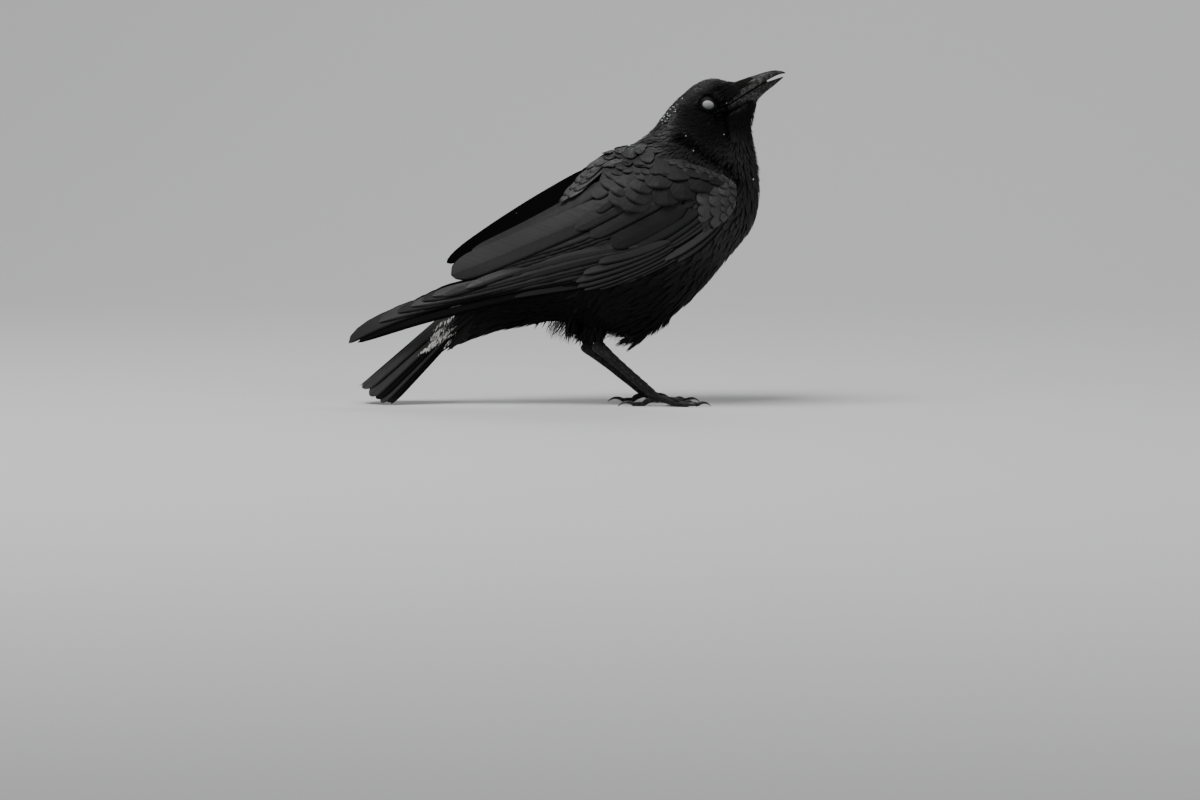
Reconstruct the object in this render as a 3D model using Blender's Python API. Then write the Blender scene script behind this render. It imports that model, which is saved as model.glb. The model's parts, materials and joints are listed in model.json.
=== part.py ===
"""A standing crow, life size, still, with closed wings and its bill raised.

The bird faces +X and +Z is up. Its right side is at -Y. The origin lies on the floor, under the
middle of the bird's bounding box. Sizes in the tables are millimetres and become metres in mesh().
Every solid is a separate named node, and neighbours keep a thin gap.
"""

import math

import bmesh
import bpy
import numpy as np
from mathutils import Vector
from mathutils.bvhtree import BVHTree

MM = 0.001
GAP = 0.35
HEIGHT_CLEAR = 300.0  # more than the bird's height and half width, for cutters that span it
WIDTH_CLEAR = 80.0
SHIFT = Vector((0.0, 0.0, 0.0))

# The body with its feathers: a back and a belly point in the bird's middle plane, as x, z,
# then the half width, and how far the widest place lies above the middle of the section.
BODY = {
    "tail_root": (-85.0, 67.0, -92.5, 43.0, 8.5, 0.0),
    "undertail": (-61.0, 112.0, -59.0, 55.0, 18.0, 0.05),
    "vent": (-37.0, 139.0, -35.0, 59.5, 29.0, 0.10),
    "rear_belly": (-15.0, 159.0, -11.0, 64.0, 37.5, 0.12),
    "thighs": (4.5, 174.0, 24.0, 56.0, 43.5, 0.12),
    "belly": (23.0, 187.5, 55.0, 51.5, 47.0, 0.10),
    "keel": (38.0, 196.5, 82.0, 67.5, 48.5, 0.10),
    "breast": (49.5, 202.6, 106.0, 90.5, 48.0, 0.08),
    "shoulders": (58.0, 208.5, 126.5, 115.0, 45.0, 0.05),
    "crop": (63.8, 213.0, 143.0, 135.0, 40.0, 0.0),
    "neck_base": (67.6, 217.8, 149.5, 155.5, 35.0, 0.0),
    "low_neck": (71.5, 223.2, 149.8, 176.0, 29.5, 0.0),
    "mid_neck": (76.0, 229.3, 147.0, 192.0, 24.5, 0.0),
    "high_neck": (81.8, 236.2, 143.4, 206.0, 21.4, 0.0),
    "nape": (88.8, 242.5, 142.8, 214.0, 19.4, 0.0),
    "rear_crown": (97.0, 249.3, 143.8, 219.5, 18.0, 0.0),
    "crown": (106.5, 254.0, 144.8, 223.5, 16.4, 0.0),
    "brow": (115.0, 254.8, 145.3, 227.0, 14.2, 0.0),
    "forehead": (122.8, 252.6, 145.9, 230.5, 10.8, 0.05),
    "bill_root": (129.0, 250.7, 146.6, 233.8, 7.2, 0.10),
}
BODY_STEPS = 2
BODY_SIDES = 26
BODY_SQUARENESS = 2.25
NODE_SPANS = (
    ("undertail_coverts", "tail_root", "vent"),
    ("trunk", "vent", "crop"),
    ("neck", "crop", "high_neck"),
    ("head", "high_neck", "bill_root"),
)

# The closed wing's outer face, front to back: its upper edge and lower edge in side view, as
# x, z each, then how far out of the middle plane it is above, between and below, then thickness.
WING_ARM = (
    (132.0, 171.5, 133.0, 163.0, 38.0, 39.5, 38.5, 3.0),
    (124.5, 181.0, 126.0, 146.5, 35.0, 45.0, 42.0, 6.0),
    (105.5, 192.0, 108.0, 127.0, 30.0, 50.0, 47.0, 9.0),
    (78.5, 202.5, 80.0, 114.3, 23.0, 52.5, 50.5, 9.0),
    (50.5, 204.2, 52.0, 114.3, 13.0, 53.0, 51.5, 7.5),
    (23.0, 192.5, 24.0, 113.5, 6.0, 49.0, 49.5, 6.0),
    (-6.0, 172.3, -6.0, 110.0, 2.0, 40.0, 43.0, 4.5),
    (-35.5, 154.0, -37.0, 105.5, 0.5, 29.0, 34.5, 3.6),
    (-63.5, 133.6, -62.0, 103.0, 0.4, 18.0, 25.0, 3.0),
    (-84.0, 119.0, -82.5, 101.4, 0.5, 10.5, 17.0, 2.4),
    (-94.2, 108.5, -90.4, 102.4, 1.4, 6.5, 10.5, 1.2),
)
WING_HAND = (
    (75.5, 112.4, 74.5, 110.6, 48.6, 48.6, 48.4, 2.0),
    (52.0, 112.8, 49.0, 98.8, 50.3, 50.4, 48.8, 6.0),
    (24.0, 111.9, 19.0, 92.2, 48.8, 49.4, 47.0, 6.0),
    (-6.0, 108.9, -12.0, 88.2, 42.6, 44.2, 42.6, 4.5),
    (-37.0, 104.5, -43.5, 82.8, 34.2, 36.8, 36.8, 3.5),
    (-60.5, 101.6, -70.0, 76.2, 28.5, 31.6, 32.2, 3.0),
    (-80.7, 96.0, -95.6, 68.8, 24.0, 27.6, 29.0, 2.6),
    (-99.5, 89.4, -115.0, 64.2, 20.5, 24.2, 25.6, 2.3),
    (-120.5, 79.6, -134.5, 59.0, 17.0, 20.2, 21.2, 2.0),
    (-140.0, 69.6, -151.0, 53.2, 13.8, 16.2, 16.8, 1.7),
    (-157.2, 59.6, -163.4, 49.2, 11.2, 12.6, 12.8, 1.3),
    (-168.4, 50.4, -169.6, 47.2, 9.8, 9.8, 9.8, 0.8),
)
ARM_SEAM = 34.0  # the shoulder's feathers end and the secondaries begin at this x
WING_STEPS = 1.5
WING_ACROSS = 7
WING_FULLNESS = 0.75  # under 1, the wing bulges sooner below its upper edge
WING_CROWDING = 1.5  # over 1, its points crowd towards the upper edge
ARM_LEAN = math.radians(50.0)  # the upper edge is thick along this slope, the lower edge level
HAND_LEAN = 0.0
WING_PROUD = 2.2  # the wing's outer face stays this far outside the body

# The tail: a closed fan with its middle ridge on top, rolled so that its right side hangs lower.
TAIL_ROOT = (-34.0, 0.0, 125.0)
TAIL_DROP = math.radians(40.8)
TAIL_ROLL = math.radians(27.0)
TAIL_SAG = math.radians(27.0)
TAIL_LENGTH = 172.0
TAIL_ROUNDING = 14.0  # the outermost feathers end this much sooner
TAIL_RIGHT_WIDTHS = (10.0, 20.0, 26.5, 29.5, 29.0)
TAIL_LEFT_WIDTHS = (7.0, 13.0, 19.0, 25.0, 28.0)
TAIL_THICKNESS = (5.0, 1.1)
TAIL_ROWS = 9
TAIL_ACROSS = 11

# The bill: its axis starts between the corners of the mouth and rises to the tip. Rows give
# the place along the axis, the top, the bottom and the half width, square to the axis.
BILL_ROOT = (123.1, 0.0, 232.1)
BILL_RISE = math.radians(29.0)
UPPER_BILL = (
    (1.0, 10.5, 0.6, 8.9),
    (8.0, 12.2, 1.0, 8.8),
    (15.0, 12.6, 1.5, 8.0),
    (23.0, 11.2, 1.9, 6.9),
    (33.0, 9.8, 2.1, 5.3),
    (41.0, 8.1, 2.0, 3.9),
    (46.5, 6.2, 1.8, 2.8),
    (50.4, 3.6, 0.9, 1.6),
    (53.0, 0.9, -0.2, 0.5),
)
LOWER_BILL = (
    (1.0, 0.2, -5.5, 8.4),
    (8.0, 0.6, -7.4, 8.2),
    (15.0, 1.1, -8.3, 7.3),
    (23.0, 1.5, -8.2, 6.0),
    (31.0, 1.2, -6.9, 4.8),
    (39.0, 0.2, -5.2, 3.5),
    (45.5, -0.8, -3.5, 2.2),
    (50.0, -1.4, -2.1, 0.8),
)
BILL_STEPS = 2
BILL_SIDES = 12
BILL_EDGE = 0.8  # under 1, the sides of a section stand steeper above its edges
BILL_RIDGE = 1.25  # over 1, the ridge is narrower
MOUTH_ROWS = 6  # the rows that the cutter for the bill spans, from well inside the head

EYE = (109.2, 14.3, 233.8)
EYE_RADIUS = 6.3
EYE_SEGMENTS = 14
EYE_RINGS = 9

# The legs. Both stand with the heel behind the foot, and the left one a little further back.
HIP = (-6.0, -1.0, 35.0)  # from the heel
HEEL = (25.5, 21.0, 45.0)
FOOT = (69.5, 23.0, 6.3)
HEEL_LAG, HEEL_SINK = 9.0, 3.0  # the left heel is this much further back, and lower
FOOT_LAG = 8.0
# Where along the shank its sections are, from the heel at 0 to the foot's joint at 1, and how
# thick they are. Each pair is the radius across, then the radius front to back.
SHANK_SHARES = (-0.03, 0.06, 0.22, 0.5, 0.78, 0.95, 1.05)
TARSUS_RADII = ((4.6, 5.2), (4.1, 4.9), (3.0, 4.0), (2.8, 3.7), (3.0, 3.7), (3.5, 3.6), (3.2, 3.0))
SHANK_GAP = 0.01  # the gap at the shank's two ends, as a share of its length
THIGH_RADII = ((13.0, 16.0), (11.0, 14.0), (8.0, 10.5), (5.6, 7.0), (4.8, 5.4))
THIGH_END = 0.92  # the thigh's feathers stop at this share of the way from the hip to the heel
# Each toe: heading out of straight ahead, length to the claw, knuckle height, claw length.
TOES = {
    "middle": (2.0, 33.0, 4.6, 11.5),
    "inner": (-27.0, 25.0, 4.0, 11.0),
    "outer": (26.0, 27.0, 3.7, 10.0),
    "hind": (176.0, 19.0, 4.0, 14.5),
}
TOE_RADIUS = 2.7
TOE_TIP_RADIUS = 1.8
TOE_SHARES = (0.0, 0.2, 0.38, 0.58, 0.8, 1.0)
TOE_REST = 0.72  # a resting toe's middle line is this share of its radius above the floor
CLAW_ARC = math.radians(95.0)
CLAW_LIFT = math.radians(38.0)  # the claw starts rising at this angle
CLAW_ROOT = 0.6  # how far the claw reaches back into the toe before it is cut
CLAW_RADIUS = 1.5
CLAW_TAPER = 0.92
CLAW_FLATNESS = 0.8
CLAW_RINGS = 6
LIMB_SIDES = 10
CLAW_SIDES = 8


# ---------------------------------------------------------------- shared tools
def clear_scene():
    for old in list(bpy.data.objects):
        bpy.data.objects.remove(old)


def finish(name, colour, roughness):
    """A plain material for one kind of surface."""
    made = bpy.data.materials.get(name)
    if made is None:
        made = bpy.data.materials.new(name)
        made.use_nodes = True
        shader = made.node_tree.nodes["Principled BSDF"]
        shader.inputs["Base Color"].default_value = (*colour, 1.0)
        shader.inputs["Roughness"].default_value = roughness
        shader.inputs["Metallic"].default_value = 0.0
    return made


def feather_black():
    return finish("feather_black", (0.018, 0.018, 0.020), 0.55)


def horn_black():
    return finish("horn_black", (0.022, 0.021, 0.021), 0.35)


def leg_black():
    return finish("leg_black", (0.024, 0.023, 0.022), 0.5)


def eye_pale():
    return finish("eye_pale", (0.62, 0.64, 0.66), 0.25)


def mesh(name, points, faces, material):
    """An object from points in millimetres. Its normals are made to face out."""
    made = bpy.data.meshes.new(name)
    made.from_pydata([tuple((Vector(p) + SHIFT) * MM) for p in points], [], faces)
    work = bmesh.new()
    work.from_mesh(made)
    bmesh.ops.recalc_face_normals(work, faces=work.faces)
    if work.calc_volume(signed=True) < 0:
        bmesh.ops.reverse_faces(work, faces=work.faces)
    work.to_mesh(made)
    work.free()
    made.materials.append(material)
    made.shade_smooth()
    made.set_sharp_from_angle(angle=math.radians(50))
    thing = bpy.data.objects.new(name, made)
    bpy.context.scene.collection.objects.link(thing)
    return thing


def curve_through(rows, steps):
    """A smooth curve through rows of numbers, with this many steps between neighbours."""
    rows = np.array(rows, float)
    ends = np.vstack([2 * rows[0] - rows[1], rows, 2 * rows[-1] - rows[-2]])
    found = []
    for a, b, c, d in zip(ends, ends[1:], ends[2:], ends[3:]):
        for step in range(steps):
            t = step / steps
            bend = (2 * a - 5 * b + 4 * c - d) * t * t + (3 * b - a - 3 * c + d) * t**3
            found.append(0.5 * (2 * b + (c - a) * t + bend))
    found.append(rows[-1])
    return np.array(found)


def row_at(rows, place):
    """The smooth curve's row at a place counted in rows."""
    fine = 20
    samples = curve_through(rows, fine)
    index = min(max(place, 0.0), len(rows) - 1) * fine
    low = min(int(index), len(samples) - 2)
    return samples[low] + (samples[low + 1] - samples[low]) * (index - low)


def loft(name, rings, material):
    """One closed skin over rings with the same number of points, with flat ends."""
    count = len(rings[0])
    faces = [tuple(range(count)), tuple(range((len(rings) - 1) * count, len(rings) * count))]
    for row in range(len(rings) - 1):
        start = row * count
        for k in range(count):
            after = (k + 1) % count
            faces.append((start + k, start + after, start + count + after, start + count + k))
    points = [point for ring in rings for point in ring]
    return mesh(name, points, faces, material)


def sweep(path, radii, sides=LIMB_SIDES):
    """Rings of a round limb along a path. Radii are pairs: across, then square to the path."""
    path = [Vector(p) for p in path]
    rings = []
    for index, (centre, (across, deep)) in enumerate(zip(path, radii)):
        ahead = path[min(index + 1, len(path) - 1)] - path[max(index - 1, 0)]
        side = Vector((0, 0, 1)).cross(ahead)
        side = Vector((0, 1, 0)) if side.length < 1e-6 else side.normalized()
        top = ahead.normalized().cross(side)
        ring = []
        for k in range(sides):
            angle = 2 * math.pi * k / sides
            ring.append(centre + side * across * math.cos(angle) + top * deep * math.sin(angle))
        rings.append(ring)
    return rings


def cutter(thing):
    thing.hide_render = True
    thing.display_type = "WIRE"
    return thing


def cut(thing, *tools):
    for tool in tools:
        step = thing.modifiers.new("cut_" + tool.name, "BOOLEAN")
        step.operation = "DIFFERENCE"
        step.object = tool


# ---------------------------------------------------------------- head, neck and trunk
def body_ring(row, grow=0.0):
    """One cross-section: rounder than a box, fuller than an ellipse."""
    back = Vector((row[0], 0, row[1]))
    belly = Vector((row[2], 0, row[3]))
    middle, up = (back + belly) / 2, (back - belly) / 2
    up = up * (1 + grow / up.length)
    ring = []
    for k in range(BODY_SIDES):
        angle = 2 * math.pi * (k + 0.5) / BODY_SIDES
        high = math.copysign(abs(math.cos(angle)) ** (2 / BODY_SQUARENESS), math.cos(angle))
        wide = math.copysign(abs(math.sin(angle)) ** (2 / BODY_SQUARENESS), math.sin(angle))
        high += row[5] * (1 - high * high)
        ring.append(middle + up * high + Vector((0, (row[4] + grow) * wide, 0)))
    return ring


def body_rings(first, last, trim, grow=0.0):
    """The rings between two named stations. The end rings move inwards by trim."""
    names = list(BODY)
    rows = curve_through(list(BODY.values()), BODY_STEPS)
    start, stop = names.index(first) * BODY_STEPS, names.index(last) * BODY_STEPS
    rings = [body_ring(row, grow) for row in rows[start : stop + 1]]
    for end, sign in ((0, 1), (-1, -1)):
        row = rows[start if end == 0 else stop]
        up = Vector((row[0] - row[2], 0, row[1] - row[3])).normalized()
        ahead = Vector((0, 1, 0)).cross(up)
        rings[end] = [point + ahead * trim * sign for point in rings[end]]
    return rings


def make_body():
    nodes = {}
    for name, first, last in NODE_SPANS:
        nodes[name] = loft(name, body_rings(first, last, GAP / 2), feather_black())
    ends = list(BODY)
    whole = loft("body_space", body_rings(ends[0], ends[-1], -GAP, GAP), feather_black())
    return nodes, cutter(whole)


# ---------------------------------------------------------------- wings and tail
def slab(name, face, rows, columns, material):
    """A closed shell. face(i, j) gives a point of the outer face and the one under it."""
    pairs = [face(i, j) for i in range(rows) for j in range(columns)]
    total = len(pairs)
    faces = []
    for i in range(rows - 1):
        for j in range(columns - 1):
            a = i * columns + j
            quad = (a, a + 1, a + columns + 1, a + columns)
            faces.append(quad)
            faces.append(tuple(total + k for k in reversed(quad)))
    rim = list(range(columns))
    rim += [i * columns + columns - 1 for i in range(1, rows)]
    rim += [(rows - 1) * columns + j for j in range(columns - 2, -1, -1)]
    rim += [i * columns for i in range(rows - 2, 0, -1)]
    for a, b in zip(rim, rim[1:] + rim[:1]):
        faces.append((a, total + a, total + b, b))
    return mesh(name, [outer for outer, _ in pairs] + [inner for _, inner in pairs], faces, material)


def wing_point(table, place, share):
    """A point on the wing's outer face, and the wing's thickness there."""
    row = row_at(table, place)
    bulge = math.sin(math.pi * min(max(share, 0.0), 1.0))
    if share < 0.5:
        out = row[4] + (row[5] - row[4]) * bulge**WING_FULLNESS
    else:
        out = row[6] + (row[5] - row[6]) * bulge
    x = row[0] + (row[2] - row[0]) * share
    z = row[1] + (row[3] - row[1]) * share
    return x, out, z, row[7]


def body_width(surface, x, z):
    """How far the body reaches out of the middle plane at a place in side view."""
    start = Vector((x, WIDTH_CLEAR, z)) * MM
    hit = surface.ray_cast(start, Vector((0, -1, 0)))[0]
    return hit.y / MM if hit else 0.0


def wing_slab(name, table, lean, side, surface, grow=0.0):
    rows = round((len(table) - 1) * WING_STEPS) + 1

    def face(i, j):
        place = (len(table) - 1) * i / (rows - 1)
        row = row_at(table, place)
        spare = grow / math.hypot(row[0] - row[2], row[1] - row[3])
        share = -spare + (1 + 2 * spare) * (j / (WING_ACROSS - 1)) ** WING_CROWDING
        x, out, z, thick = wing_point(table, place, share)
        out = max(out, body_width(surface, x, z) + WING_PROUD)
        slope = lean * (1 - share)
        outward = Vector((0, side * math.cos(slope), math.sin(slope)))
        outer = Vector((x, side * out, z)) + outward * grow
        inner = outer - outward * (thick + 2 * grow)
        inner.y = side * max(side * inner.y, GAP / 2)
        return outer, inner

    return slab(name, face, rows, WING_ACROSS, feather_black())


def block_space(name, low_x, high_x):
    """A block wider and higher than the bird, to cut away what lies between two places."""
    rings = []
    for y in (-WIDTH_CLEAR, WIDTH_CLEAR):
        corners = ((low_x, -1), (high_x, -1), (high_x, HEIGHT_CLEAR), (low_x, HEIGHT_CLEAR))
        rings.append([Vector((x, y, z)) for x, z in corners])
    return cutter(loft(name, rings, feather_black()))


def make_wing(label, side, body_space):
    surface = BVHTree.FromPolygons(
        [v.co for v in body_space.data.vertices], [p.vertices for p in body_space.data.polygons]
    )
    tip, front = WING_HAND[-1][0] - 10.0, WING_ARM[0][2] + 10.0
    before = block_space(f"before_seam_{label}", ARM_SEAM - GAP / 2, front)
    behind = block_space(f"behind_seam_{label}", tip, ARM_SEAM + GAP / 2)
    name = f"wing_{label}_"
    cut(wing_slab(name + "shoulder", WING_ARM, ARM_LEAN, side, surface), body_space, behind)
    secondaries = wing_slab(name + "secondaries", WING_ARM, ARM_LEAN, side, surface)
    cut(secondaries, body_space, before)
    arm_space = cutter(wing_slab(f"arm_space_{label}", WING_ARM, ARM_LEAN, side, surface, GAP))
    primaries = wing_slab(name + "primaries", WING_HAND, HAND_LEAN, side, surface)
    cut(primaries, body_space, arm_space)


def make_tail(body_space):
    ahead = Vector((-math.cos(TAIL_DROP), 0, -math.sin(TAIL_DROP)))
    level = Vector((0, 1, 0))
    top = level.cross(ahead)
    left = level * math.cos(TAIL_ROLL) + top * math.sin(TAIL_ROLL)
    top = top * math.cos(TAIL_ROLL) - level * math.sin(TAIL_ROLL)

    def face(i, j):
        along, share = i / (TAIL_ROWS - 1), 2 * j / (TAIL_ACROSS - 1) - 1
        widths = TAIL_LEFT_WIDTHS if share > 0 else TAIL_RIGHT_WIDTHS
        out = row_at([(width,) for width in widths], along * (len(widths) - 1))[0] * share
        reach = TAIL_LENGTH - TAIL_ROUNDING * abs(share) ** 3
        point = Vector(TAIL_ROOT) + ahead * reach * along
        point += left * out * math.cos(TAIL_SAG) - top * abs(out) * math.sin(TAIL_SAG)
        thick = TAIL_THICKNESS[0] + (TAIL_THICKNESS[1] - TAIL_THICKNESS[0]) * along
        return point, point - top * thick

    cut(slab("tail", face, TAIL_ROWS, TAIL_ACROSS, feather_black()), body_space)


# ---------------------------------------------------------------- bill and eyes
def bill_arc(half, flat, ridge):
    """Half a section of the bill, from its right corner over the ridge to its left corner."""
    arc = []
    for k in range(BILL_SIDES):
        angle = math.pi * k / (BILL_SIDES - 1)
        out = math.copysign(half * abs(math.cos(angle)) ** BILL_EDGE, math.cos(angle))
        arc.append((out, flat + (ridge - flat) * abs(math.sin(angle)) ** BILL_RIDGE))
    return arc


def on_bill(place, arc):
    """Moves points of a section to their place along the bill's axis."""
    ahead = Vector((math.cos(BILL_RISE), 0, math.sin(BILL_RISE)))
    up = Vector((-ahead.z, 0, ahead.x))
    middle = Vector(BILL_ROOT) + ahead * place
    return [middle + up * rise + Vector((0, out, 0)) for out, rise in arc]


def make_head_parts(head):
    rings = [
        on_bill(place, bill_arc(half, low, high))
        for place, high, low, half in curve_through(UPPER_BILL, BILL_STEPS)
    ]
    loft("bill_upper", rings, horn_black())
    rings = [
        on_bill(place, bill_arc(half, high, low))
        for place, high, low, half in curve_through(LOWER_BILL, BILL_STEPS)
    ]
    loft("bill_lower", rings, horn_black())
    # One cutter for both halves, as far as they reach into the head.
    rings = []
    for (place, high, flat, half), (_, low_flat, low, low_half) in zip(UPPER_BILL, LOWER_BILL):
        over = bill_arc(half + GAP, flat, high + GAP)
        under = bill_arc(low_half + GAP, low_flat, low - GAP)
        rings.append(on_bill(place - (0 if rings else GAP), over + under[::-1]))
    cut(head, cutter(loft("bill_space", rings[:MOUTH_ROWS], horn_black())))
    for label, side in (("right", -1), ("left", 1)):
        centre = Vector((EYE[0], EYE[1] * side, EYE[2]))
        make_ball(f"eye_{label}", centre, EYE_RADIUS, eye_pale())
        cut(head, cutter(make_ball(f"socket_{label}", centre, EYE_RADIUS + GAP, eye_pale())))


def make_ball(name, centre, radius, material):
    work = bmesh.new()
    bmesh.ops.create_uvsphere(
        work, u_segments=EYE_SEGMENTS, v_segments=EYE_RINGS, radius=radius
    )
    points = [Vector((v.co.x, v.co.z, v.co.y)) + centre for v in work.verts]
    faces = [tuple(v.index for v in face.verts) for face in work.faces]
    work.free()
    return mesh(name, points, faces, material)


# ---------------------------------------------------------------- legs and feet
def toe_radius(share):
    return TOE_RADIUS + (TOE_TIP_RADIUS - TOE_RADIUS) * share


def toe_path(foot, ahead, length, knuckle):
    """The middle line of a toe: down from the foot's joint, then along the floor."""
    rest = [toe_radius(share) * TOE_REST for share in TOE_SHARES]
    heights = [foot.z, (foot.z + knuckle) / 2, knuckle, *rest[3:]]
    start = Vector((foot.x, foot.y, 0))
    return [
        start + ahead * length * share + Vector((0, 0, height))
        for share, height in zip(TOE_SHARES, heights)
    ]


def claw_path(toe_end, ahead, length):
    """An arc that leaves the toe rising and comes down to the floor."""
    radius = length / CLAW_ARC
    path = []
    for k in range(CLAW_RINGS):
        angle = CLAW_ARC * k / (CLAW_RINGS - 1) - CLAW_LIFT
        reach = radius * (math.sin(angle) + math.sin(CLAW_LIFT)) - CLAW_ROOT
        height = radius * (math.cos(angle) - math.cos(CLAW_LIFT))
        path.append(toe_end + ahead * reach + Vector((0, 0, height)))
    return path


def rest_on_floor(rings):
    """Whatever would sink below the floor becomes a small flat on it."""
    return [[Vector((p.x, p.y, max(p.z, 0.0))) for p in ring] for ring in rings]


def make_leg(label, side, body_space):
    behind = 1 if side > 0 else 0
    heel = Vector((HEEL[0] - HEEL_LAG * behind, HEEL[1] * side, HEEL[2] - HEEL_SINK * behind))
    foot = Vector((FOOT[0] - FOOT_LAG * behind, FOOT[1] * side, FOOT[2]))
    hip = heel + Vector((HIP[0], HIP[1] * side, HIP[2]))
    thigh_path = [hip.lerp(heel, THIGH_END * k / 4) for k in range(5)]
    thigh = loft(f"thigh_{label}", sweep(thigh_path, THIGH_RADII), feather_black())
    shank = sweep([heel.lerp(foot, share) for share in SHANK_SHARES], TARSUS_RADII)
    loft(f"tarsus_{label}", rest_on_floor(shank), leg_black())
    ends = (SHANK_SHARES[0] - SHANK_GAP, *SHANK_SHARES[1:-1], SHANK_SHARES[-1] + SHANK_GAP)
    longer = [heel.lerp(foot, share) for share in ends]
    wide = [(a + GAP, b + GAP) for a, b in TARSUS_RADII]
    shank_space = cutter(loft(f"shank_space_{label}", sweep(longer, wide), leg_black()))
    cut(thigh, body_space, shank_space)
    middle_space = None
    for toe_name, (heading, length, knuckle, claw) in TOES.items():
        turn = math.radians(heading) * side
        ahead = Vector((math.cos(turn), math.sin(turn), 0))
        path = toe_path(foot, ahead, length, knuckle)
        radii = [toe_radius(share) for share in TOE_SHARES]
        rings = rest_on_floor(sweep(path, [(r, r) for r in radii]))
        toe = loft(f"toe_{label}_{toe_name}", rings, leg_black())
        grown = sweep([*path[:-1], path[-1] + ahead * GAP], [(r + GAP, r + GAP) for r in radii])
        toe_space = cutter(loft(f"space_{label}_{toe_name}", grown, leg_black()))
        cut(toe, shank_space)
        if toe_name == "middle":
            middle_space = toe_space
        elif toe_name != "hind":
            cut(toe, middle_space)
        thin = [CLAW_RADIUS * (1 - CLAW_TAPER * k / (CLAW_RINGS - 1)) for k in range(CLAW_RINGS)]
        flat = [(CLAW_FLATNESS * r, r) for r in thin]
        nail = sweep(claw_path(path[-1], ahead, claw), flat, CLAW_SIDES)
        cut(loft(f"claw_{label}_{toe_name}", rest_on_floor(nail), horn_black()), toe_space)


def main():
    clear_scene()
    nodes, body_space = make_body()
    make_head_parts(nodes["head"])
    make_tail(body_space)
    for label, side in (("right", -1), ("left", 1)):
        make_wing(label, side, body_space)
        make_leg(label, side, body_space)


main()
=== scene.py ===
"""The looks of a standing crow: its skin, coat, flight feathers, bill, eyes, feet and claws.

Lengths in the tables are millimetres in the frame's own axes: the bird faces +X, its right side is
at -Y, up is +Z. Finished meshes are in metres. Everything random comes from one seeded source.
"""

import json
import math

import bpy
import numpy as np
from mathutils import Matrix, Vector
from mathutils.bvhtree import BVHTree
from mathutils.kdtree import KDTree

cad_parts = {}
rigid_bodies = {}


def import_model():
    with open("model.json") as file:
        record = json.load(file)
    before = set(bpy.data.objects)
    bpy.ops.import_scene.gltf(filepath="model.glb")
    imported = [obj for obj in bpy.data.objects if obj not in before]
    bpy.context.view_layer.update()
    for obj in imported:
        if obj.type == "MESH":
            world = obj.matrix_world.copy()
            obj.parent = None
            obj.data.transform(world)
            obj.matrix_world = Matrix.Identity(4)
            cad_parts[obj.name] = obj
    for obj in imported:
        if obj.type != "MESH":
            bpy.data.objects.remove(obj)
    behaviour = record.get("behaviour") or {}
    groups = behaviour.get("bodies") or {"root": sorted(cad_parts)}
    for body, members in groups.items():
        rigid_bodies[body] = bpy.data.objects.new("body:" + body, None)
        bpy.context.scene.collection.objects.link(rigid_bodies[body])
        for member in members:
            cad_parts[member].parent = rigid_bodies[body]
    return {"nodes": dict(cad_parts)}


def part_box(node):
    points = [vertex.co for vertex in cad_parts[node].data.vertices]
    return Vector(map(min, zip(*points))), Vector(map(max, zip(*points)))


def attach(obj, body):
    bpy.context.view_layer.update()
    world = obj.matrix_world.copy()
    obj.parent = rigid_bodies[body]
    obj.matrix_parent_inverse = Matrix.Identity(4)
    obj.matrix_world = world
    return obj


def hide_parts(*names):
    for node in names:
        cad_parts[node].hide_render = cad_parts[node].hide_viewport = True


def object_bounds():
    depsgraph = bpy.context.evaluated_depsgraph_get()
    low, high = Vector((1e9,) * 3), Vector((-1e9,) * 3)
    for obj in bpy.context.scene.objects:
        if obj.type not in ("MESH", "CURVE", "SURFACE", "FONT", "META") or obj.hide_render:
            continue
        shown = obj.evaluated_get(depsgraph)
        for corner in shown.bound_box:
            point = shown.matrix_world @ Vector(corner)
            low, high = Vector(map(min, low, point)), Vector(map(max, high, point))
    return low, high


for left_over in list(bpy.data.objects):
    bpy.data.objects.remove(left_over)
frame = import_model()
cad_box = [list(corner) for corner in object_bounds()]

# ================================================================ studio: camera, floor and lights
# A long lens looks at the bird's right side from a little above the ground. The floor is one pale
# paper sweep that curves up behind the bird, lit by four soft boxes and a dim room.
MM = 0.001
CAMERA_RISE, CAMERA_AWAY = math.radians(4.0), 5.2
LOOK_AHEAD, LOOK_UP = 0.0254, 0.0031
SWEEP_FRONT, SWEEP_REACH, SWEEP_RADIUS, SWEEP_TOP, SWEEP_HALF = -7.0, 3.0, 1.6, 4.0, 5.0
SWEEP_STEPS = 12
# A soft box: its place, its width and height, and its power.
SOFT_BOXES = {
    "sky_box": ((-0.7, -0.75, 2.3), (1.5, 1.1), 62.0),
    "side_box": ((-2.2, -2.0, 1.2), (1.2, 1.2), 9.0),
    "front_box": ((1.8, -2.0, 1.3), (1.2, 1.2), 13.0),
    "back_box": ((0.9, 2.2, 2.4), (2.4, 1.0), 30.0),
}


def new_object(name, data):
    thing = bpy.data.objects.new(name, data)
    bpy.context.scene.collection.objects.link(thing)
    return thing


def aim(thing, place, target):
    thing.location = place
    thing.rotation_euler = (target - thing.location).to_track_quat("-Z", "Y").to_euler()


def mesh_of(name, points, faces, finish):
    data = bpy.data.meshes.new(name)
    data.from_pydata([tuple(p) for p in points], [], faces)
    data.shade_smooth()
    data.materials.append(finish)
    return data


def feed(made, **values):
    """Sets a shader node's inputs. Each value is a number, a colour or a socket to link."""
    for key, value in values.items():
        index = int(key[1:]) if key[0] == "i" and key[1:].isdigit() else key.replace("_", " ")
        if isinstance(value, bpy.types.NodeSocket):
            made.id_data.links.new(value, made.inputs[index])
        else:
            made.inputs[index].default_value = value
    return made


def node(tree, kind, settings=(), **values):
    made = tree.nodes.new("ShaderNode" + kind)
    for key, value in dict(settings).items():
        setattr(made, key, value)
    return feed(made, **values)


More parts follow.
